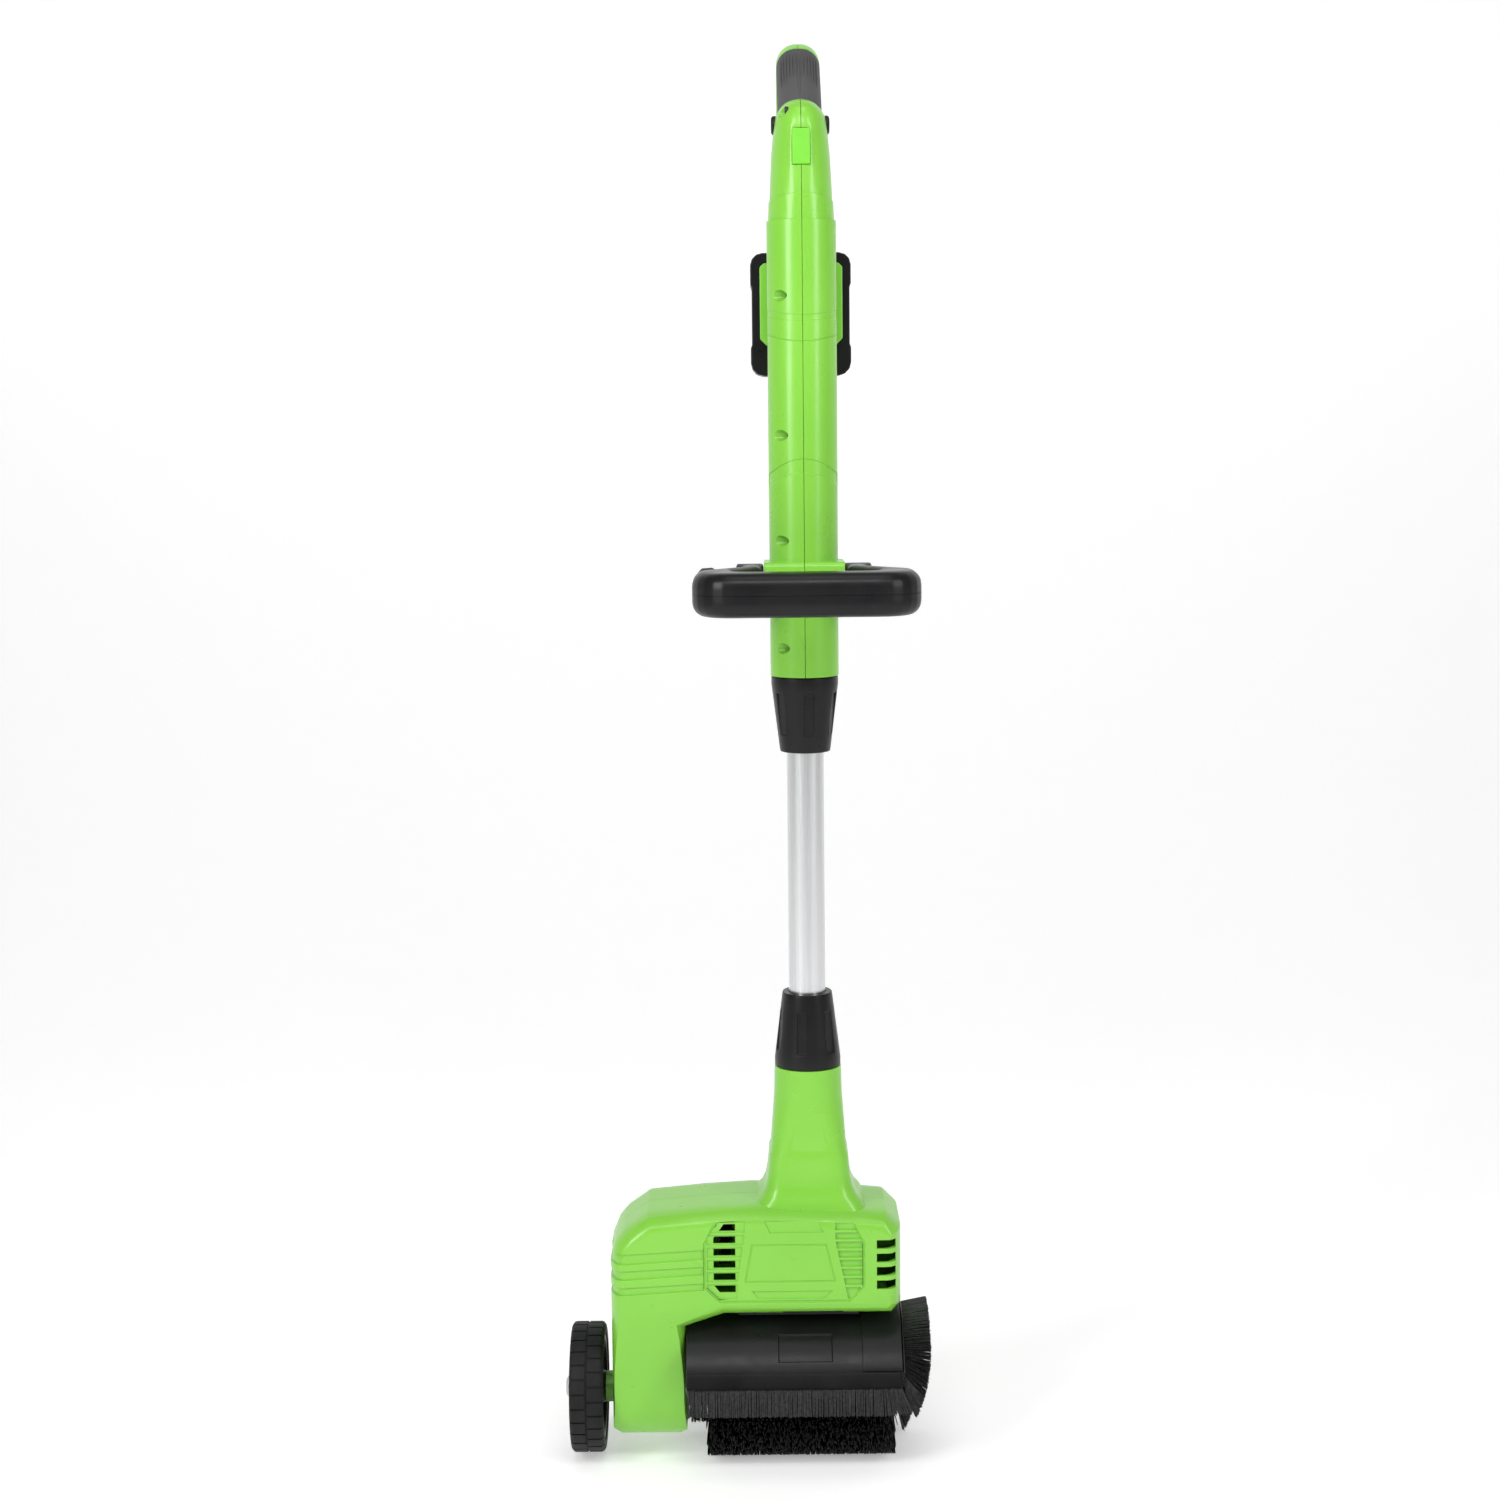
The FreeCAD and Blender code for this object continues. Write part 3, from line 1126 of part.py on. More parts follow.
def make_guard():
    outer = "guard_radius + guard_wall"
    hood = arc_plate("hood", "guard_radius", outer, "leg_right + 0.5", "guard_right - 2")
    saddle = block("saddle", (-56, -20, "axle_height + guard_radius + 1.5"),
                   (38, 20, "head_bottom"))
    head_block = shaped("head_clearance", head_solid(0))
    pocket_zone = sector("pocket_zone", "guard_radius + 8", -25, 16, 34, 54)
    pocket_core = rod("pocket_core", f"{outer} - 1.2", -26, 17, "X", (0, "axle_height"))
    recess = cut("guard_recess", pocket_zone, pocket_core)
    subpart(cut("hood_piece", fuse("hood_solid", hood, saddle), recess, head_block),
            "brush_guard")

    skin = arc_plate("end_skin", outer, f"{outer} + 1.4", 39, "guard_right - 2", -60, 61)
    disc = arc_plate("end_disc", 46, outer, "guard_right - 2", "guard_right")
    subpart(fuse("end_cover", skin, disc), "guard_end_cover")

    strip = arc_plate("lip", outer, f"{outer} + 1.6", "leg_right + 1", 67.5, 62, 72)
    subpart(strip, "skirt_strip")

    sill = "axle_height + 19.8"
    front = block("skirt_front", ("leg_right + 1.5", "-guard_radius - 5.5", "axle_height"),
                  ("guard_right - 2", "-guard_radius - 0.5", sill))
    side = arc_plate("skirt_side", 52, 64, "guard_right + 0.02", "skirt_reach", -130, 76)
    rear = arc_plate("skirt_rear", "guard_radius", "guard_radius + 2.6", "leg_right + 1.5",
                     "guard_right - 2", -139, "guard_rear - 0.2")
    subpart(fuse("skirt", front, side, rear), "skirt_bristles")


def check_and_export():
    """Stop on any failed object, then write each piece to its own file."""
    doc.recompute()
    for item in doc.Objects:
        if {"Invalid", "Error"} & set(item.State):
            raise RuntimeError(f"{item.Name} failed: {item.State}")
    for item in SUBPARTS:
        if item.Shape.isNull() or not item.Shape.isValid():
            raise RuntimeError(f"{item.Label} has no valid shape")
    os.makedirs("parts", exist_ok=True)
    for item in SUBPARTS:
        item.Shape.exportStep(f"parts/{item.Label}.step")
        solids = item.Shape.Solids
        print(f"{item.Label}: {len(solids)} solids, {sum(s.Volume for s in solids) / 1000:.2f} cm3")


make_brush()
make_wheel()
make_drive()
make_motor()
make_head()
make_pole()
make_collar("collar_low", "lower_collar", "neck_top + gap", Rotation(Vector(0, 0, 1), 18))
make_collar("collar_high", "upper_collar", "handle_bottom - gap",
            Rotation(Vector(0, 0, 1), -23) * Rotation(Vector(1, 0, 0), 180))
make_handle()
make_handle_fittings()
make_battery()
make_front_handle()
make_pivot_hardware()
make_guard()
check_and_export()
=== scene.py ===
import json
import math
import random

import bmesh
import bpy
from mathutils import Matrix, Vector

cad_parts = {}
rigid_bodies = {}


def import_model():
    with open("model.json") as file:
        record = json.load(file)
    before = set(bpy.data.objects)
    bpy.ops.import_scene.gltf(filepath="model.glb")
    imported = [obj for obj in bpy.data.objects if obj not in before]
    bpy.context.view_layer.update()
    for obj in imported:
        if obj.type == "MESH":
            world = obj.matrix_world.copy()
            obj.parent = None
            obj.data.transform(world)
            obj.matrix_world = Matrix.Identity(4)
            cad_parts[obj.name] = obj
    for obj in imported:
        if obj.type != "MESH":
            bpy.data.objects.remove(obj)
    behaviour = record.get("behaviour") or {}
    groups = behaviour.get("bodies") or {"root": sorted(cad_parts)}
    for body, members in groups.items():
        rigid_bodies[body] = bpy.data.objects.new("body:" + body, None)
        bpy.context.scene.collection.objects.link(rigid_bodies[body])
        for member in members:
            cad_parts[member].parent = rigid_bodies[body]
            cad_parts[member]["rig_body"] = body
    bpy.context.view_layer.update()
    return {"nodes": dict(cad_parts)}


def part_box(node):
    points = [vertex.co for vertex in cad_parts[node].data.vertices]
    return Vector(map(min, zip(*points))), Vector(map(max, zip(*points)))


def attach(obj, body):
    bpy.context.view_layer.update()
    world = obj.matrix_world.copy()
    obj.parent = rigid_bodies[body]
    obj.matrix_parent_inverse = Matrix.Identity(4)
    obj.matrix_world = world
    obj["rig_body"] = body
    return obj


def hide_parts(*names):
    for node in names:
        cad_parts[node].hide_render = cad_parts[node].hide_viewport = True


# The looks of a cordless brush sweeper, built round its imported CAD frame. Metres, +Z up along the
# pole, the brush's line along X, the user at +Y. Lengths in the code are in millimetres times MM.

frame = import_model()
NODES = frame["nodes"]
SLOTS = {name: item.data.materials[0].name for name, item in NODES.items()}
MM = 0.001
AXLE = 54 * MM             # height of the brush's axle, and the brush's radius
GUARD_INNER = 62 * MM      # inner radius of the brush guard
MERGE = 0.004 * MM         # CAD corners nearer than this are one corner
DRAW = random.Random(11)   # every strand's small differences come from here, in order


# ---- materials

def principled(name, colour, roughness, **sockets):
    """A Principled material; sockets are set on the shader itself."""
    made = bpy.data.materials.new(name)
    made.use_nodes = True
    shader = made.node_tree.nodes["Principled BSDF"]
    shader.inputs["Base Color"].default_value = (*colour, 1)
    shader.inputs["Roughness"].default_value = roughness
    for socket, value in sockets.items():
        shader.inputs[socket.replace("_", " ")].default_value = value
    return made


def node(made, kind, **values):
    """A node of a material, with its properties and sockets set."""
    item = made.node_tree.nodes.new(kind)
    for name, value in values.items():
        if name in item.inputs:
            item.inputs[name].default_value = value
        else:
            setattr(item, name, value)
    return item


def link(made, source, output, target, socket):
    made.node_tree.links.new(source.outputs[output], target.inputs[socket])


def shader_of(made):
    return made.node_tree.nodes["Principled BSDF"]


def place_noise(made, scale, detail, stretch):
    """Noise over the piece's own coordinates; stretch lengthens its grain along an axis."""
    place = node(made, "ShaderNodeTexCoord")
    scaled = node(made, "ShaderNodeMapping")
    scaled.inputs["Scale"].default_value = [1 / factor for factor in stretch]
    noise = node(made, "ShaderNodeTexNoise", Scale=scale, Detail=detail)
    link(made, place, "Object", scaled, "Vector")
    link(made, scaled, "Vector", noise, "Vector")
    return noise


def colour_by(made, source, output, low, first, high, second):
    """Colour from first to second as a node's output goes from low to high."""
    ramp = node(made, "ShaderNodeValToRGB")
    for element, position, colour in zip(ramp.color_ramp.elements, (low, high), (first, second)):
        element.position = position
        element.color = (*colour, 1)
    link(made, source, output, ramp, "Fac")
    link(made, ramp, "Color", shader_of(made), "Base Color")


def vary_colour(made, first, second, scale, stretch=(1, 1, 1), low=0.35, high=0.65):
    """Two close colours mixed by a soft noise."""
    colour_by(made, place_noise(made, scale, 3, stretch), "Fac", low, first, high, second)


def vary_roughness(made, low, high, scale, stretch=(1, 1, 1)):
    """Gloss that drifts softly between two roughnesses."""
    noise = place_noise(made, scale, 3, stretch)
    limits = node(made, "ShaderNodeMapRange")
    for socket, value in (("From Min", 0.3), ("From Max", 0.7), ("To Min", low), ("To Max", high)):
        limits.inputs[socket].default_value = value
    link(made, noise, "Fac", limits, "Value")
    link(made, limits, "Result", shader_of(made), "Roughness")


def roughen(made, scale, height, strength, stretch=(1, 1, 1)):
    """A fine moulded grain, height in metres."""
    noise = place_noise(made, scale, 2, stretch)
    bump = node(made, "ShaderNodeBump", Strength=strength, Distance=height)
    link(made, noise, "Fac", bump, "Height")
    link(made, bump, "Normal", shader_of(made), "Normal")


def green_shell():
    made = principled("green_moulding", (0.215, 0.575, 0.050), 0.28, Specular_IOR_Level=0.55)
    vary_colour(made, (0.209, 0.565, 0.048), (0.224, 0.59, 0.054), 14)
    vary_roughness(made, 0.27, 0.31, 40)
    roughen(made, 1800, 0.00003, 0.35)
    return made


def green_tab():
    made = principled("green_tab_moulding", (0.17, 0.62, 0.03), 0.4)
    vary_colour(made, (0.165, 0.60, 0.03), (0.18, 0.64, 0.035), 60)
    roughen(made, 1800, 0.00003, 0.3)
    return made


def black_plastic():
    made = principled("black_moulding", (0.008, 0.008, 0.009), 0.34, Specular_IOR_Level=0.24)
    vary_colour(made, (0.007, 0.007, 0.008), (0.011, 0.011, 0.012), 18)
    vary_roughness(made, 0.27, 0.38, 60)
    roughen(made, 1500, 0.00005, 0.5)
    return made


def grip_rubber():
    made = principled("grip_rubber_moulding", (0.07, 0.07, 0.072), 0.62)
    vary_colour(made, (0.062, 0.062, 0.064), (0.08, 0.08, 0.082), 25)
    roughen(made, 1100, 0.00006, 0.6)
    return made


def aluminium():
    made = principled("aluminium_satin", (0.74, 0.745, 0.755), 0.3, Metallic=1.0)
    vary_colour(made, (0.72, 0.725, 0.735), (0.77, 0.775, 0.78), 600, (1, 1, 60))
    vary_roughness(made, 0.26, 0.36, 900, (1, 1, 80))
    roughen(made, 1200, 0.00001, 0.25, (1, 1, 90))
    return made


def steel():
    made = principled("steel_turned", (0.5, 0.5, 0.52), 0.3, Metallic=1.0)
    vary_roughness(made, 0.24, 0.42, 500, (30, 1, 1))
    return made


def bristle():
    made = principled("bristle_nylon", (0.014, 0.014, 0.015), 0.38, Specular_IOR_Level=0.4)
    vary_colour(made, (0.006, 0.006, 0.007), (0.028, 0.028, 0.030), 500)
    return made


def painted_shade_bristle():
    """The roller's nylon: black, paler at the tips on the outside of the roller and darker toward
    the core: a painted highlight on the tips and painted shade deep among the strands.
    """
    made = principled("bristle_painted_shade", (0.006, 0.006, 0.007), 0.45, Specular_IOR_Level=0.03)
    place = node(made, "ShaderNodeTexCoord")
    scaled = node(made, "ShaderNodeMapping")
    size = 1 / AXLE
    scaled.inputs["Scale"].default_value = (0, size, size)
    scaled.inputs["Location"].default_value = (0, 0, -AXLE * size)
    gradient = node(made, "ShaderNodeTexGradient", gradient_type="SPHERICAL")
    link(made, place, "Object", scaled, "Vector")
    link(made, scaled, "Vector", gradient, "Vector")
    # tip: the paler outer tips, a painted highlight; root: darker than the plain nylon, painted
    # shade toward the core
    tip, root = (0.05, 0.05, 0.048), (0.002, 0.002, 0.0022)
    colour_by(made, gradient, "Fac", 0.0, tip, 0.05, root)
    return made


def tyre():
    made = principled("tyre_rubber", (0.007, 0.007, 0.0075), 0.6, Specular_IOR_Level=0.25)
    vary_colour(made, (0.006, 0.006, 0.0065), (0.010, 0.010, 0.011), 45)
    roughen(made, 900, 0.00008, 0.6)
    return made


def belt():
    made = principled("belt_rubber", (0.03, 0.03, 0.031), 0.7)
    roughen(made, 700, 0.0001, 0.6, (1, 8, 8))
    return made


def nylon():
    made = principled("nylon_natural", (0.72, 0.70, 0.64), 0.4, Subsurface_Weight=0.1)
    vary_colour(made, (0.70, 0.68, 0.62), (0.76, 0.74, 0.69), 90)
    return made


def circuit():
    made = principled("circuit_laminate", (0.03, 0.2, 0.07), 0.3)
    vary_colour(made, (0.02, 0.16, 0.05), (0.05, 0.26, 0.09), 500, low=0.45, high=0.55)
    return made


def copper():
    made = principled("copper_winding", (0.75, 0.36, 0.2), 0.34, Metallic=1.0)
    vary_roughness(made, 0.25, 0.45, 900, (30, 1, 1))
    return made


def cell():
    made = principled("cell_sleeve", (0.05, 0.16, 0.42), 0.35)
    vary_colour(made, (0.045, 0.15, 0.40), (0.06, 0.18, 0.46), 70)
    return made


FINISHES = {make.__name__: make() for make in (
    green_shell, green_tab, black_plastic, grip_rubber, aluminium, steel, bristle, tyre, belt,
    nylon, circuit, copper, cell)}


# ---- pieces

def add_object(name, data):
    item = bpy.data.objects.new(name, data)
    bpy.context.scene.collection.objects.link(item)
    return item


def stand_for(piece, cad_node):
    """A piece that rides, looks and counts as one CAD node."""
    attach(piece, NODES[cad_node]["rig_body"])
    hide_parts(cad_node)


def round_edges(piece, width, segments, angle):
    """Round the edges that are sharper than the angle, in degrees."""
    bevel = piece.modifiers.new("edges", "BEVEL")
    bevel.width = width
    bevel.segments = segments
    bevel.limit_method = "ANGLE"
    bevel.angle_limit = math.radians(angle)
    return bevel


def smooth_mesh(form, name):
    """Turn a bmesh into a mesh with smooth faces, and free it."""
    mesh = bpy.data.meshes.new(name)
    for face in form.faces:
        face.smooth = True
    form.to_mesh(mesh)
    form.free()
    return mesh


def blackened_steel():
    """The dark zinc of the small housing screws."""
    made = principled("steel_blackened", (0.05, 0.05, 0.052), 0.42, Metallic=1.0)
    vary_roughness(made, 0.36, 0.5, 500)
    return made


def dress_frame():
    """Give each CAD node the finish of its own material slot; housing screws are blackened."""
    for name, item in NODES.items():
        item.data.materials[0] = FINISHES[SLOTS[name]]
    dark = blackened_steel()
    for name in ("handle_screws", "head_screws"):
        NODES[name].data.materials[0] = dark


def refined(cad_node, name, width, seam=0.0):
    """A copy of a CAD node whose sharp edges are rounded as a mould rounds them.

    A seam moves the face on the plane x = 0 back by that much, so a dark joint line shows.
    """
    source = NODES[cad_node]
    form = bmesh.new()
    form.from_mesh(source.data)
    bmesh.ops.remove_doubles(form, verts=form.verts, dist=MERGE)
    middle = sum(vertex.co.x for vertex in form.verts)
    for vertex in form.verts:
        if seam and abs(vertex.co.x) < 0.002 * MM:
            vertex.co.x += math.copysign(seam, middle)
    mesh = smooth_mesh(form, name)
    mesh.materials.append(source.data.materials[0])
    piece = add_object(name, mesh)
    bevel = round_edges(piece, width, 3, 28)
    bevel.use_clamp_overlap = False
    bevel.loop_slide = False
    weighted = piece.modifiers.new("shading", "WEIGHTED_NORMAL")
    weighted.mode = "FACE_AREA_WITH_ANGLE"
    weighted.weight = 80
    stand_for(piece, cad_node)


def softened(cad_nodes, names, voxel, passes, seam):
    """Two CAD halves remeshed as one soft form, then cut again at the height they meet.

    The cut leaves the seam's width on each side of that height.
    """
    form = bmesh.new()
    for cad_node in cad_nodes:
        form.from_mesh(NODES[cad_node].data)
    whole = bpy.data.meshes.new("whole_form")
    form.to_mesh(whole)
    form.free()
    blank = add_object("whole_form", whole)
    remesh = blank.modifiers.new("remesh", "REMESH")
    remesh.mode = "VOXEL"
    remesh.voxel_size = voxel
    smooth = blank.modifiers.new("smooth", "SMOOTH")
    smooth.factor = 0.5
    smooth.iterations = passes
    bpy.context.view_layer.update()
    soft = bpy.data.meshes.new_from_object(
        blank.evaluated_get(bpy.context.evaluated_depsgraph_get()))
    bpy.data.objects.remove(blank)
    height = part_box(cad_nodes[0])[0][2]
    for cad_node, name, side in zip(cad_nodes, names, (1, -1)):
        form = bmesh.new()
        form.from_mesh(soft)
        cut = bmesh.ops.bisect_plane(
            form, geom=form.verts[:] + form.edges[:] + form.faces[:],
            plane_co=(0, 0, height + side * seam), plane_no=(0, 0, -side), clear_outer=True)
        rim = [item for item in cut["geom_cut"] if isinstance(item, bmesh.types.BMEdge)]
        bmesh.ops.triangle_fill(form, use_beauty=True, edges=rim)
        bmesh.ops.recalc_face_normals(form, faces=form.faces)
        mesh = smooth_mesh(form, name)
        mesh.set_sharp_from_angle(angle=math.radians(40))
        mesh.materials.append(FINISHES[SLOTS[cad_node]])
        stand_for(add_object(name, mesh), cad_node)


def add_piece(name, points, faces, body, slot):
    """A new piece from points in metres and faces, riding on a body."""
    mesh = bpy.data.meshes.new(name)
    mesh.from_pydata(points, [], faces)
    mesh.update()
    mesh.materials.append(FINISHES[slot])
    piece = add_object(name, mesh)
    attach(piece, body)
    return piece


def spread(low, high):
    """The next random number between two limits."""
    return DRAW.uniform(low, high)


def add_strand(points, faces, start, middle, end, radius):
    """One bristle: a three-sided strand through three points, closed at both ends."""
    first = len(points)
    run = (end - start).normalized()
    across = run.orthogonal().normalized()
    other = run.cross(across)
    for place, thick in ((start, radius), (middle, radius), (end, radius * 0.8)):
        for corner in range(3):
            turn = 2 * math.pi * corner / 3
            points.append(place + (across * math.cos(turn) + other * math.sin(turn)) * thick)
    for ring in (0, 3):
        for corner in range(3):
            after = (corner + 1) % 3
            faces.append((first + ring + corner, first + ring + after,
                          first + ring + 3 + after, first + ring + 3 + corner))
    faces.append((first + 2, first + 1, first))
    faces.append((first + 6, first + 7, first + 8))


def around_axle(x, radius, angle):
    """A point about the brush's axle; the angle in degrees is forward of straight up."""
    turn = math.radians(angle)
    return Vector((x, -radius * math.sin(turn), AXLE + radius * math.cos(turn)))


def make_brush():
    """Tufts of nylon set in staggered rows round the core, each tuft a small splayed bundle."""
    low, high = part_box("brush_bristles")
    reach = (high[2] - low[2]) / 2
    root = 21 * MM                              # the core's surface
    columns, rows, strands = 26, 34, 13         # tufts along and round it, strands in a tuft
    bare_end, bare_ends = 3 * MM, 8 * MM        # bare core before the first tuft, and in all
    helix = 14                                  # degrees that a row turns along the brush
    points, faces = [], []
    for column in range(columns):
        for row in range(rows):
            along = (column + 0.5 * (row % 2) + 0.25) / columns
            x = low[0] + bare_end + along * (high[0] - low[0] - bare_ends)
            angle = 360 * row / rows + helix * along
            lean = (along - 0.5) * 3 * MM       # the end tufts lean outward
            for _ in range(strands):
                dx, turn = spread(-3.0, 3.0) * MM, spread(-5.0, 5.0)
                length = reach - spread(0.0, 0.7) * MM
                start = around_axle(x + dx * 0.35, root, angle + turn * 0.5)
                middle = around_axle(x + dx * 0.7 + lean * 0.3, (root + length) / 2,
                                     angle + turn * 0.8 + spread(-1, 1))
                end_x = min(max(x + dx + lean * 0.6, low[0]), high[0])
                end = around_axle(end_x, length, angle + turn + spread(-0.8, 0.8))
                add_strand(points, faces, start, middle, end, 0.5 * MM)
    piece = add_piece("brush_tufts", points, faces, "brush", "bristle")
    # the roller's nylon carries a painted highlight on its outer tips and painted shade toward the
    # core
    piece.data.materials[0] = painted_shade_bristle()
    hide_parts("brush_bristles")


def make_skirt():
    """Bristles under the lip, round the guard's right end and along its rear edge."""
    hood_low, hood_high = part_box("brush_guard")
    left, right = hood_low[0] + 1.5 * MM, hood_high[0]
    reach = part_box("skirt_bristles")[1][0]
    points, faces = [], []
    pitch, thick = 0.85 * MM, 0.42 * MM
    drop, corner = 21.0, 16 * MM                # the front row's length in mm; where it splays
    rear_root, rear_tip = -124.6, -138.6        # the rear row's ends, degrees about the axle
    for index in range(int((right - left) / pitch)):
        x = left + pitch * index
        for layer in range(4):
            place = x + spread(-0.4, 0.4) * MM
            y = -GUARD_INNER - (0.6 + 1.2 * layer) * MM
            start = Vector((place, y, AXLE + drop * MM))
            fall = (drop + spread(-0.8, 0.5)) * MM
            splay = math.radians(26) * max(1 - (right - x) / corner, 0)
            end = start + Vector((spread(-0.7, 0.7) * MM + fall * math.sin(splay),
                                  -spread(0.2, 1.0) * MM, -fall * math.cos(splay)))
            middle = (start + end) / 2 + Vector((spread(-0.2, 0.2) * MM, 0, 0))
            add_strand(points, faces, start, middle, end, thick)
        for layer in range(3):
            radius = GUARD_INNER + (0.5 + 0.8 * layer) * MM
            start = around_axle(x + spread(-0.3, 0.3) * MM, radius, rear_root)
            end = around_axle(x + spread(-0.8, 0.8) * MM, radius, rear_tip + spread(-0.6, 0.9))
            add_strand(points, faces, start, (start + end) / 2, end, thick)
    first, sweep, count = -129.5, 205.0, 380    # the end's fan, degrees about the axle
    front_bend, rear_bend = 40, -88             # past these it turns down, to the rows it meets
    bend_turn, bend_run = math.radians(72), 38  # the turn reached over a run of degrees
    for index in range(count):
        angle = first + sweep * index / count
        fan = bend_turn * (max(angle - front_bend, 0) - max(rear_bend - angle, 0)) / bend_run
        for layer in range(5):
            radius = GUARD_INNER - (8.4 - 2.1 * layer) * MM
            place = angle + spread(-0.5, 0.5)
            turned = fan + math.radians(spread(-3, 3))
            length = reach - right - (1.8 + spread(0.0, 1.2)) * MM
            flare = (0.8 + 3.4 * max(math.cos(math.radians(angle)), 0)) * MM
            line = []
            for run in (0.0, 0.5, 1.0):
                sideways = math.degrees(length * run * math.sin(turned) / radius)
                line.append(around_axle(right + 1.6 * MM + length * run * math.cos(turned),
                                        radius + flare * run, place + sideways))
            add_strand(points, faces, *line, 0.45 * MM)
    piece = add_piece("skirt_strands", points, faces, "lower_unit", "bristle")
    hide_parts("skirt_bristles")


def sweep_round(points, faces, outline, first_turn, last_turn, steps, closed):
    """Sweep an outline of (x, radius) corners about the axle, from a first to a last angle.

    A closed sweep joins its last ring to its first; an open one gets two end faces.
    """
    begin, size = len(points), len(outline)
    rings = steps if closed else steps + 1
    for ring in range(rings):
        angle = first_turn + (last_turn - first_turn) * ring / steps
        for x, radius in outline:
            points.append(around_axle(x, radius, angle))
    for ring in range(steps):
        here, ahead = begin + ring * size, begin + ((ring + 1) % rings) * size
        for corner in range(size):
            after = (corner + 1) % size
            faces.append((here + corner, here + after, ahead + after, ahead + corner))
    if not closed:
        faces.append(tuple(begin + corner for corner in range(size))[::-1])
        faces.append(tuple(begin + steps * size + corner for corner in range(size)))


def make_tyre():
    """A tyre with two rows of staggered tread blocks that wrap its shoulders."""
    low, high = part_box("wheel_tyre")
    left, right = low[0], high[0]
    seat, outer, base = 41 * MM, 50 * MM, 48.9 * MM     # radii: rim, tread, between the blocks
    side_wall, shoulder_fall = 46.4 * MM, 48.2 * MM
    points, faces = [], []
    carcass = [(left, seat), (left, side_wall), (left + 1.6 * MM, shoulder_fall),
               (left + 4 * MM, base), (right - 4 * MM, base), (right - 1.6 * MM, shoulder_fall),
               (right, side_wall), (right, seat)]
    sweep_round(points, faces, carcass, 0, 360, 120, True)
    middle = (left + right) / 2
    blocks, block_turn = 28, 11.3
    for index in range(blocks):
        for side, shoulder, phase in ((1, left, 0.0), (-1, right, 0.5)):
            inward = side * MM
            block = [(shoulder + 0.2 * inward, 44.5 * MM), (shoulder, 47.4 * MM),
                     (shoulder + 1.6 * inward, outer - 0.5 * MM), (shoulder + 3 * inward, outer),
                     (middle - 0.6 * inward, outer), (middle - 0.6 * inward, 48 * MM),
                     (shoulder + 3.5 * inward, 44.5 * MM)]
            if side < 0:
                block.reverse()
            start = 360 * (index + phase) / blocks
            sweep_round(points, faces, block, start, start + block_turn, 4, False)
    piece = add_piece("tyre_treads", points, faces, "wheel", "tyre")
    piece.data.shade_smooth()
    round_edges(piece, 0.35 * MM, 2, 35).harden_normals = True
    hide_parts("wheel_tyre")


def make_ribs():
    """Fine lengthwise ribs on the upper face of the soft grip; the middle one is its parting line.

    Lengths here are in millimetres along the grip's own line from its origin, and across and
    above it.
    """
    origin = Vector((0, 14, 1024)) * MM
    along = Vector((0, 90, 75)).normalized()
    above = Vector((0, -along.z, along.y))
    flat, corner = 1.5, 15.0                    # half the section's flat, and its corner radius
    pitch, side_count, steps = 2.5, 6, 14       # between ribs, ribs on each side, rings in a rib
    rib_start, bow, bow_side = 34, 5.5, 12      # ribs start on a bow, 5.5 sooner at 12 across
    line_start, last = 9, 69                    # the parting line's start, and where all end
    profile = ((-0.75, -0.3), (-0.45, 0.75), (0.45, 0.75), (0.75, -0.3))    # across, proud
    points, faces = [], []
    for index in range(-side_count, side_count + 1):
        offset = pitch * index
        reach = max(abs(offset) - flat, 0)
        turn = math.copysign(reach / corner, offset)
        side = max(min(offset, flat), -flat) + corner * math.sin(turn)
        height = flat + corner * math.cos(turn)
        outward = Vector((math.sin(turn), 0, 0)) + above * math.cos(turn)
        across = Vector((math.cos(turn), 0, 0)) - above * math.sin(turn)
        first = rib_start - bow * (side / bow_side) ** 2 if index else line_start
        begin = len(points)
        for step in range(steps + 1):
            run = first + (last - first) * step / steps
            taper = min(1.0, 4 * min(step, steps - step) / steps + 0.1)     # low at both ends
            base = origin + along * run * MM
            base += Vector((side, 0, 0)) * MM + above * height * MM
            for sideways, proud in profile:
                rise = proud * taper if proud > 0 else proud
                points.append(base + across * sideways * MM + outward * rise * MM)
        for step in range(steps):
            here = begin + step * 4
            for corner_index in range(4):
                after = (corner_index + 1) % 4
                faces.append((here + corner_index, here + after, here + 4 + after,
                              here + 4 + corner_index))
        faces.append((begin + 3, begin + 2, begin + 1, begin))
        end = begin + steps * 4
        faces.append((end, end + 1, end + 2, end + 3))
    add_piece("grip_ribs", points, faces, "handle", "grip_rubber")


# CAD node, piece, radius of its edges and, on the handle's halves, the seam's half width
REFINED = (
    ("head_shell_front", "head_front", 0.35 * MM),
    ("head_shell_rear", "head_rear", 0.35 * MM),
    ("handle_shell_left", "handle_left", 0.25 * MM, 0.16 * MM),
    ("handle_shell_right", "handle_right", 0.25 * MM, 0.16 * MM),
    ("brush_guard", "guard_hood", 0.6 * MM),
    ("guard_end_cover", "guard_end", 0.6 * MM),
    ("battery_mount", "battery_rail", 0.8 * MM),
    ("battery_case", "battery_front_half", 1.0 * MM),
    ("battery_cover", "battery_rear_half", 1.0 * MM),
    ("lower_collar", "collar_below", 0.4 * MM),
    ("upper_collar", "collar_above", 0.4 * MM),
    ("clamp_knob", "knob", 0.5 * MM),
    ("wheel_rim", "rim", 0.6 * MM),
    ("grip_overmold", "grip", 0.3 * MM),
    ("strap_tab", "tab", 0.9 * MM),
    ("lock_off_button", "button", 0.4 * MM),
    ("trigger", "trigger_lever", 0.5 * MM),
    ("skirt_strip", "lip", 0.4 * MM),
)


# ---- studio

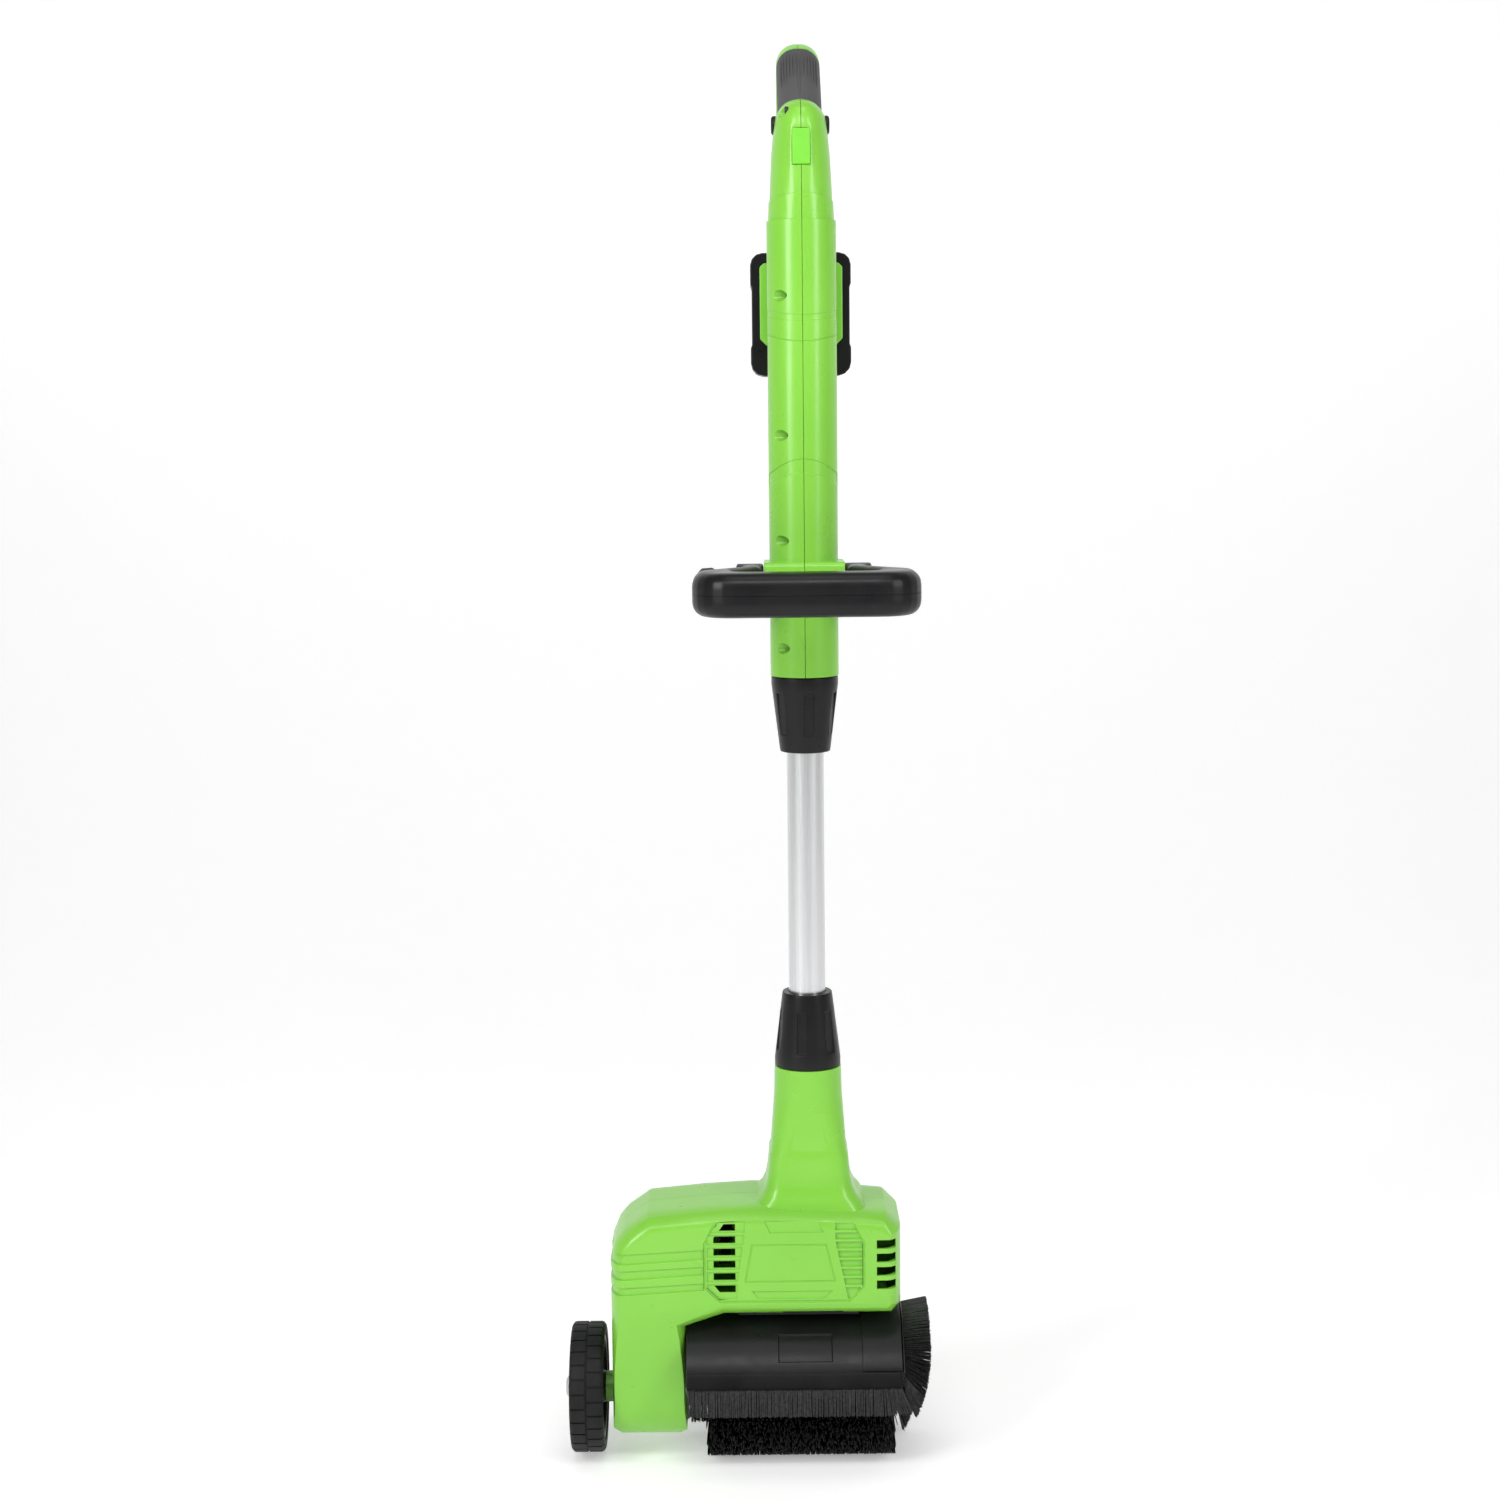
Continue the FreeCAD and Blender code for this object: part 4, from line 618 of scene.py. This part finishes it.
def make_studio():
    """A pale floor that curves up behind the sweeper, soft lights and a white surround."""
    world = bpy.data.worlds.new("surround")
    bpy.context.scene.world = world
    world.use_nodes = True
    surround = world.node_tree.nodes["Background"]
    surround.inputs["Color"].default_value = (1.0, 1.0, 1.0, 1)
    surround.inputs["Strength"].default_value = 0.19
    front, bend, top, half_width = -9.0, 1.2, 4.0, 9.0      # bend: where it starts, and its radius
    profile = [(front, 0.0), (bend, 0.0)]
    profile += [(bend + bend * math.sin(turn), bend - bend * math.cos(turn))
                for turn in (math.pi / 2 * step / 12 for step in range(1, 13))]
    profile.append((2 * bend, top))
    points = [(x, y, z) for y, z in profile for x in (-half_width, half_width)]
    faces = [(2 * row, 2 * row + 1, 2 * row + 3, 2 * row + 2) for row in range(len(profile) - 1)]
    mesh = bpy.data.meshes.new("floor")
    mesh.from_pydata(points, [], faces)
    mesh.shade_smooth()
    floor = add_object("floor", mesh)
    paper = principled("paper", (0.86, 0.86, 0.86), 0.9)
    shader_of(paper).inputs["Emission Color"].default_value = (1, 1, 1, 1)
    shader_of(paper).inputs["Emission Strength"].default_value = 0.34
    mesh.materials.append(paper)
    for name, place, aim, width, height, power in (
            ("left_strip", (-1.7, -1.75, 1.6), (0, 0, 0.95), 0.5, 1.7, 36),
            ("right_strip", (1.85, -1.6, 1.6), (0, 0, 0.95), 0.45, 1.7, 22),
            ("front_card", (0, -1.5, 2.0), (0, 0, 0.9), 1.3, 0.5, 14),
            ("top", (0.1, -0.5, 3.0), (0, 0, 0.3), 1.4, 1.4, 10)):
        lamp = bpy.data.lights.new(name, "AREA")
        lamp.shape = "RECTANGLE"
        lamp.size = width
        lamp.size_y = height
        lamp.energy = power
        holder = add_object(name, lamp)
        holder.location = place
        holder.rotation_euler = (Vector(aim) - Vector(place)).to_track_quat("-Z", "Y").to_euler()
    bpy.context.scene.view_settings.view_transform = "Standard"


def make_camera():
    """In front of the sweeper and slightly above its middle, looking a little down."""
    lens = bpy.data.cameras.new("camera")
    lens.lens = 60
    lens.sensor_width = 36
    camera = add_object("camera", lens)
    place, pitch, roll = (-0.042, -1.884, 0.805), 82.5, -0.62      # degrees; 90 looks level
    camera.matrix_world = (Matrix.Translation(place)
                           @ Matrix.Rotation(math.radians(pitch), 4, "X")
                           @ Matrix.Rotation(math.radians(roll), 4, "Z"))
    bpy.context.scene.camera = camera


make_camera()
make_studio()
dress_frame()
for refine_row in REFINED:
    refined(*refine_row)
softened(("front_handle_upper", "front_handle_lower"), ("front_grip_upper", "front_grip_lower"),
         voxel=1.1 * MM, passes=14, seam=0.12 * MM)
make_brush()
make_skirt()
make_tyre()
make_ribs()
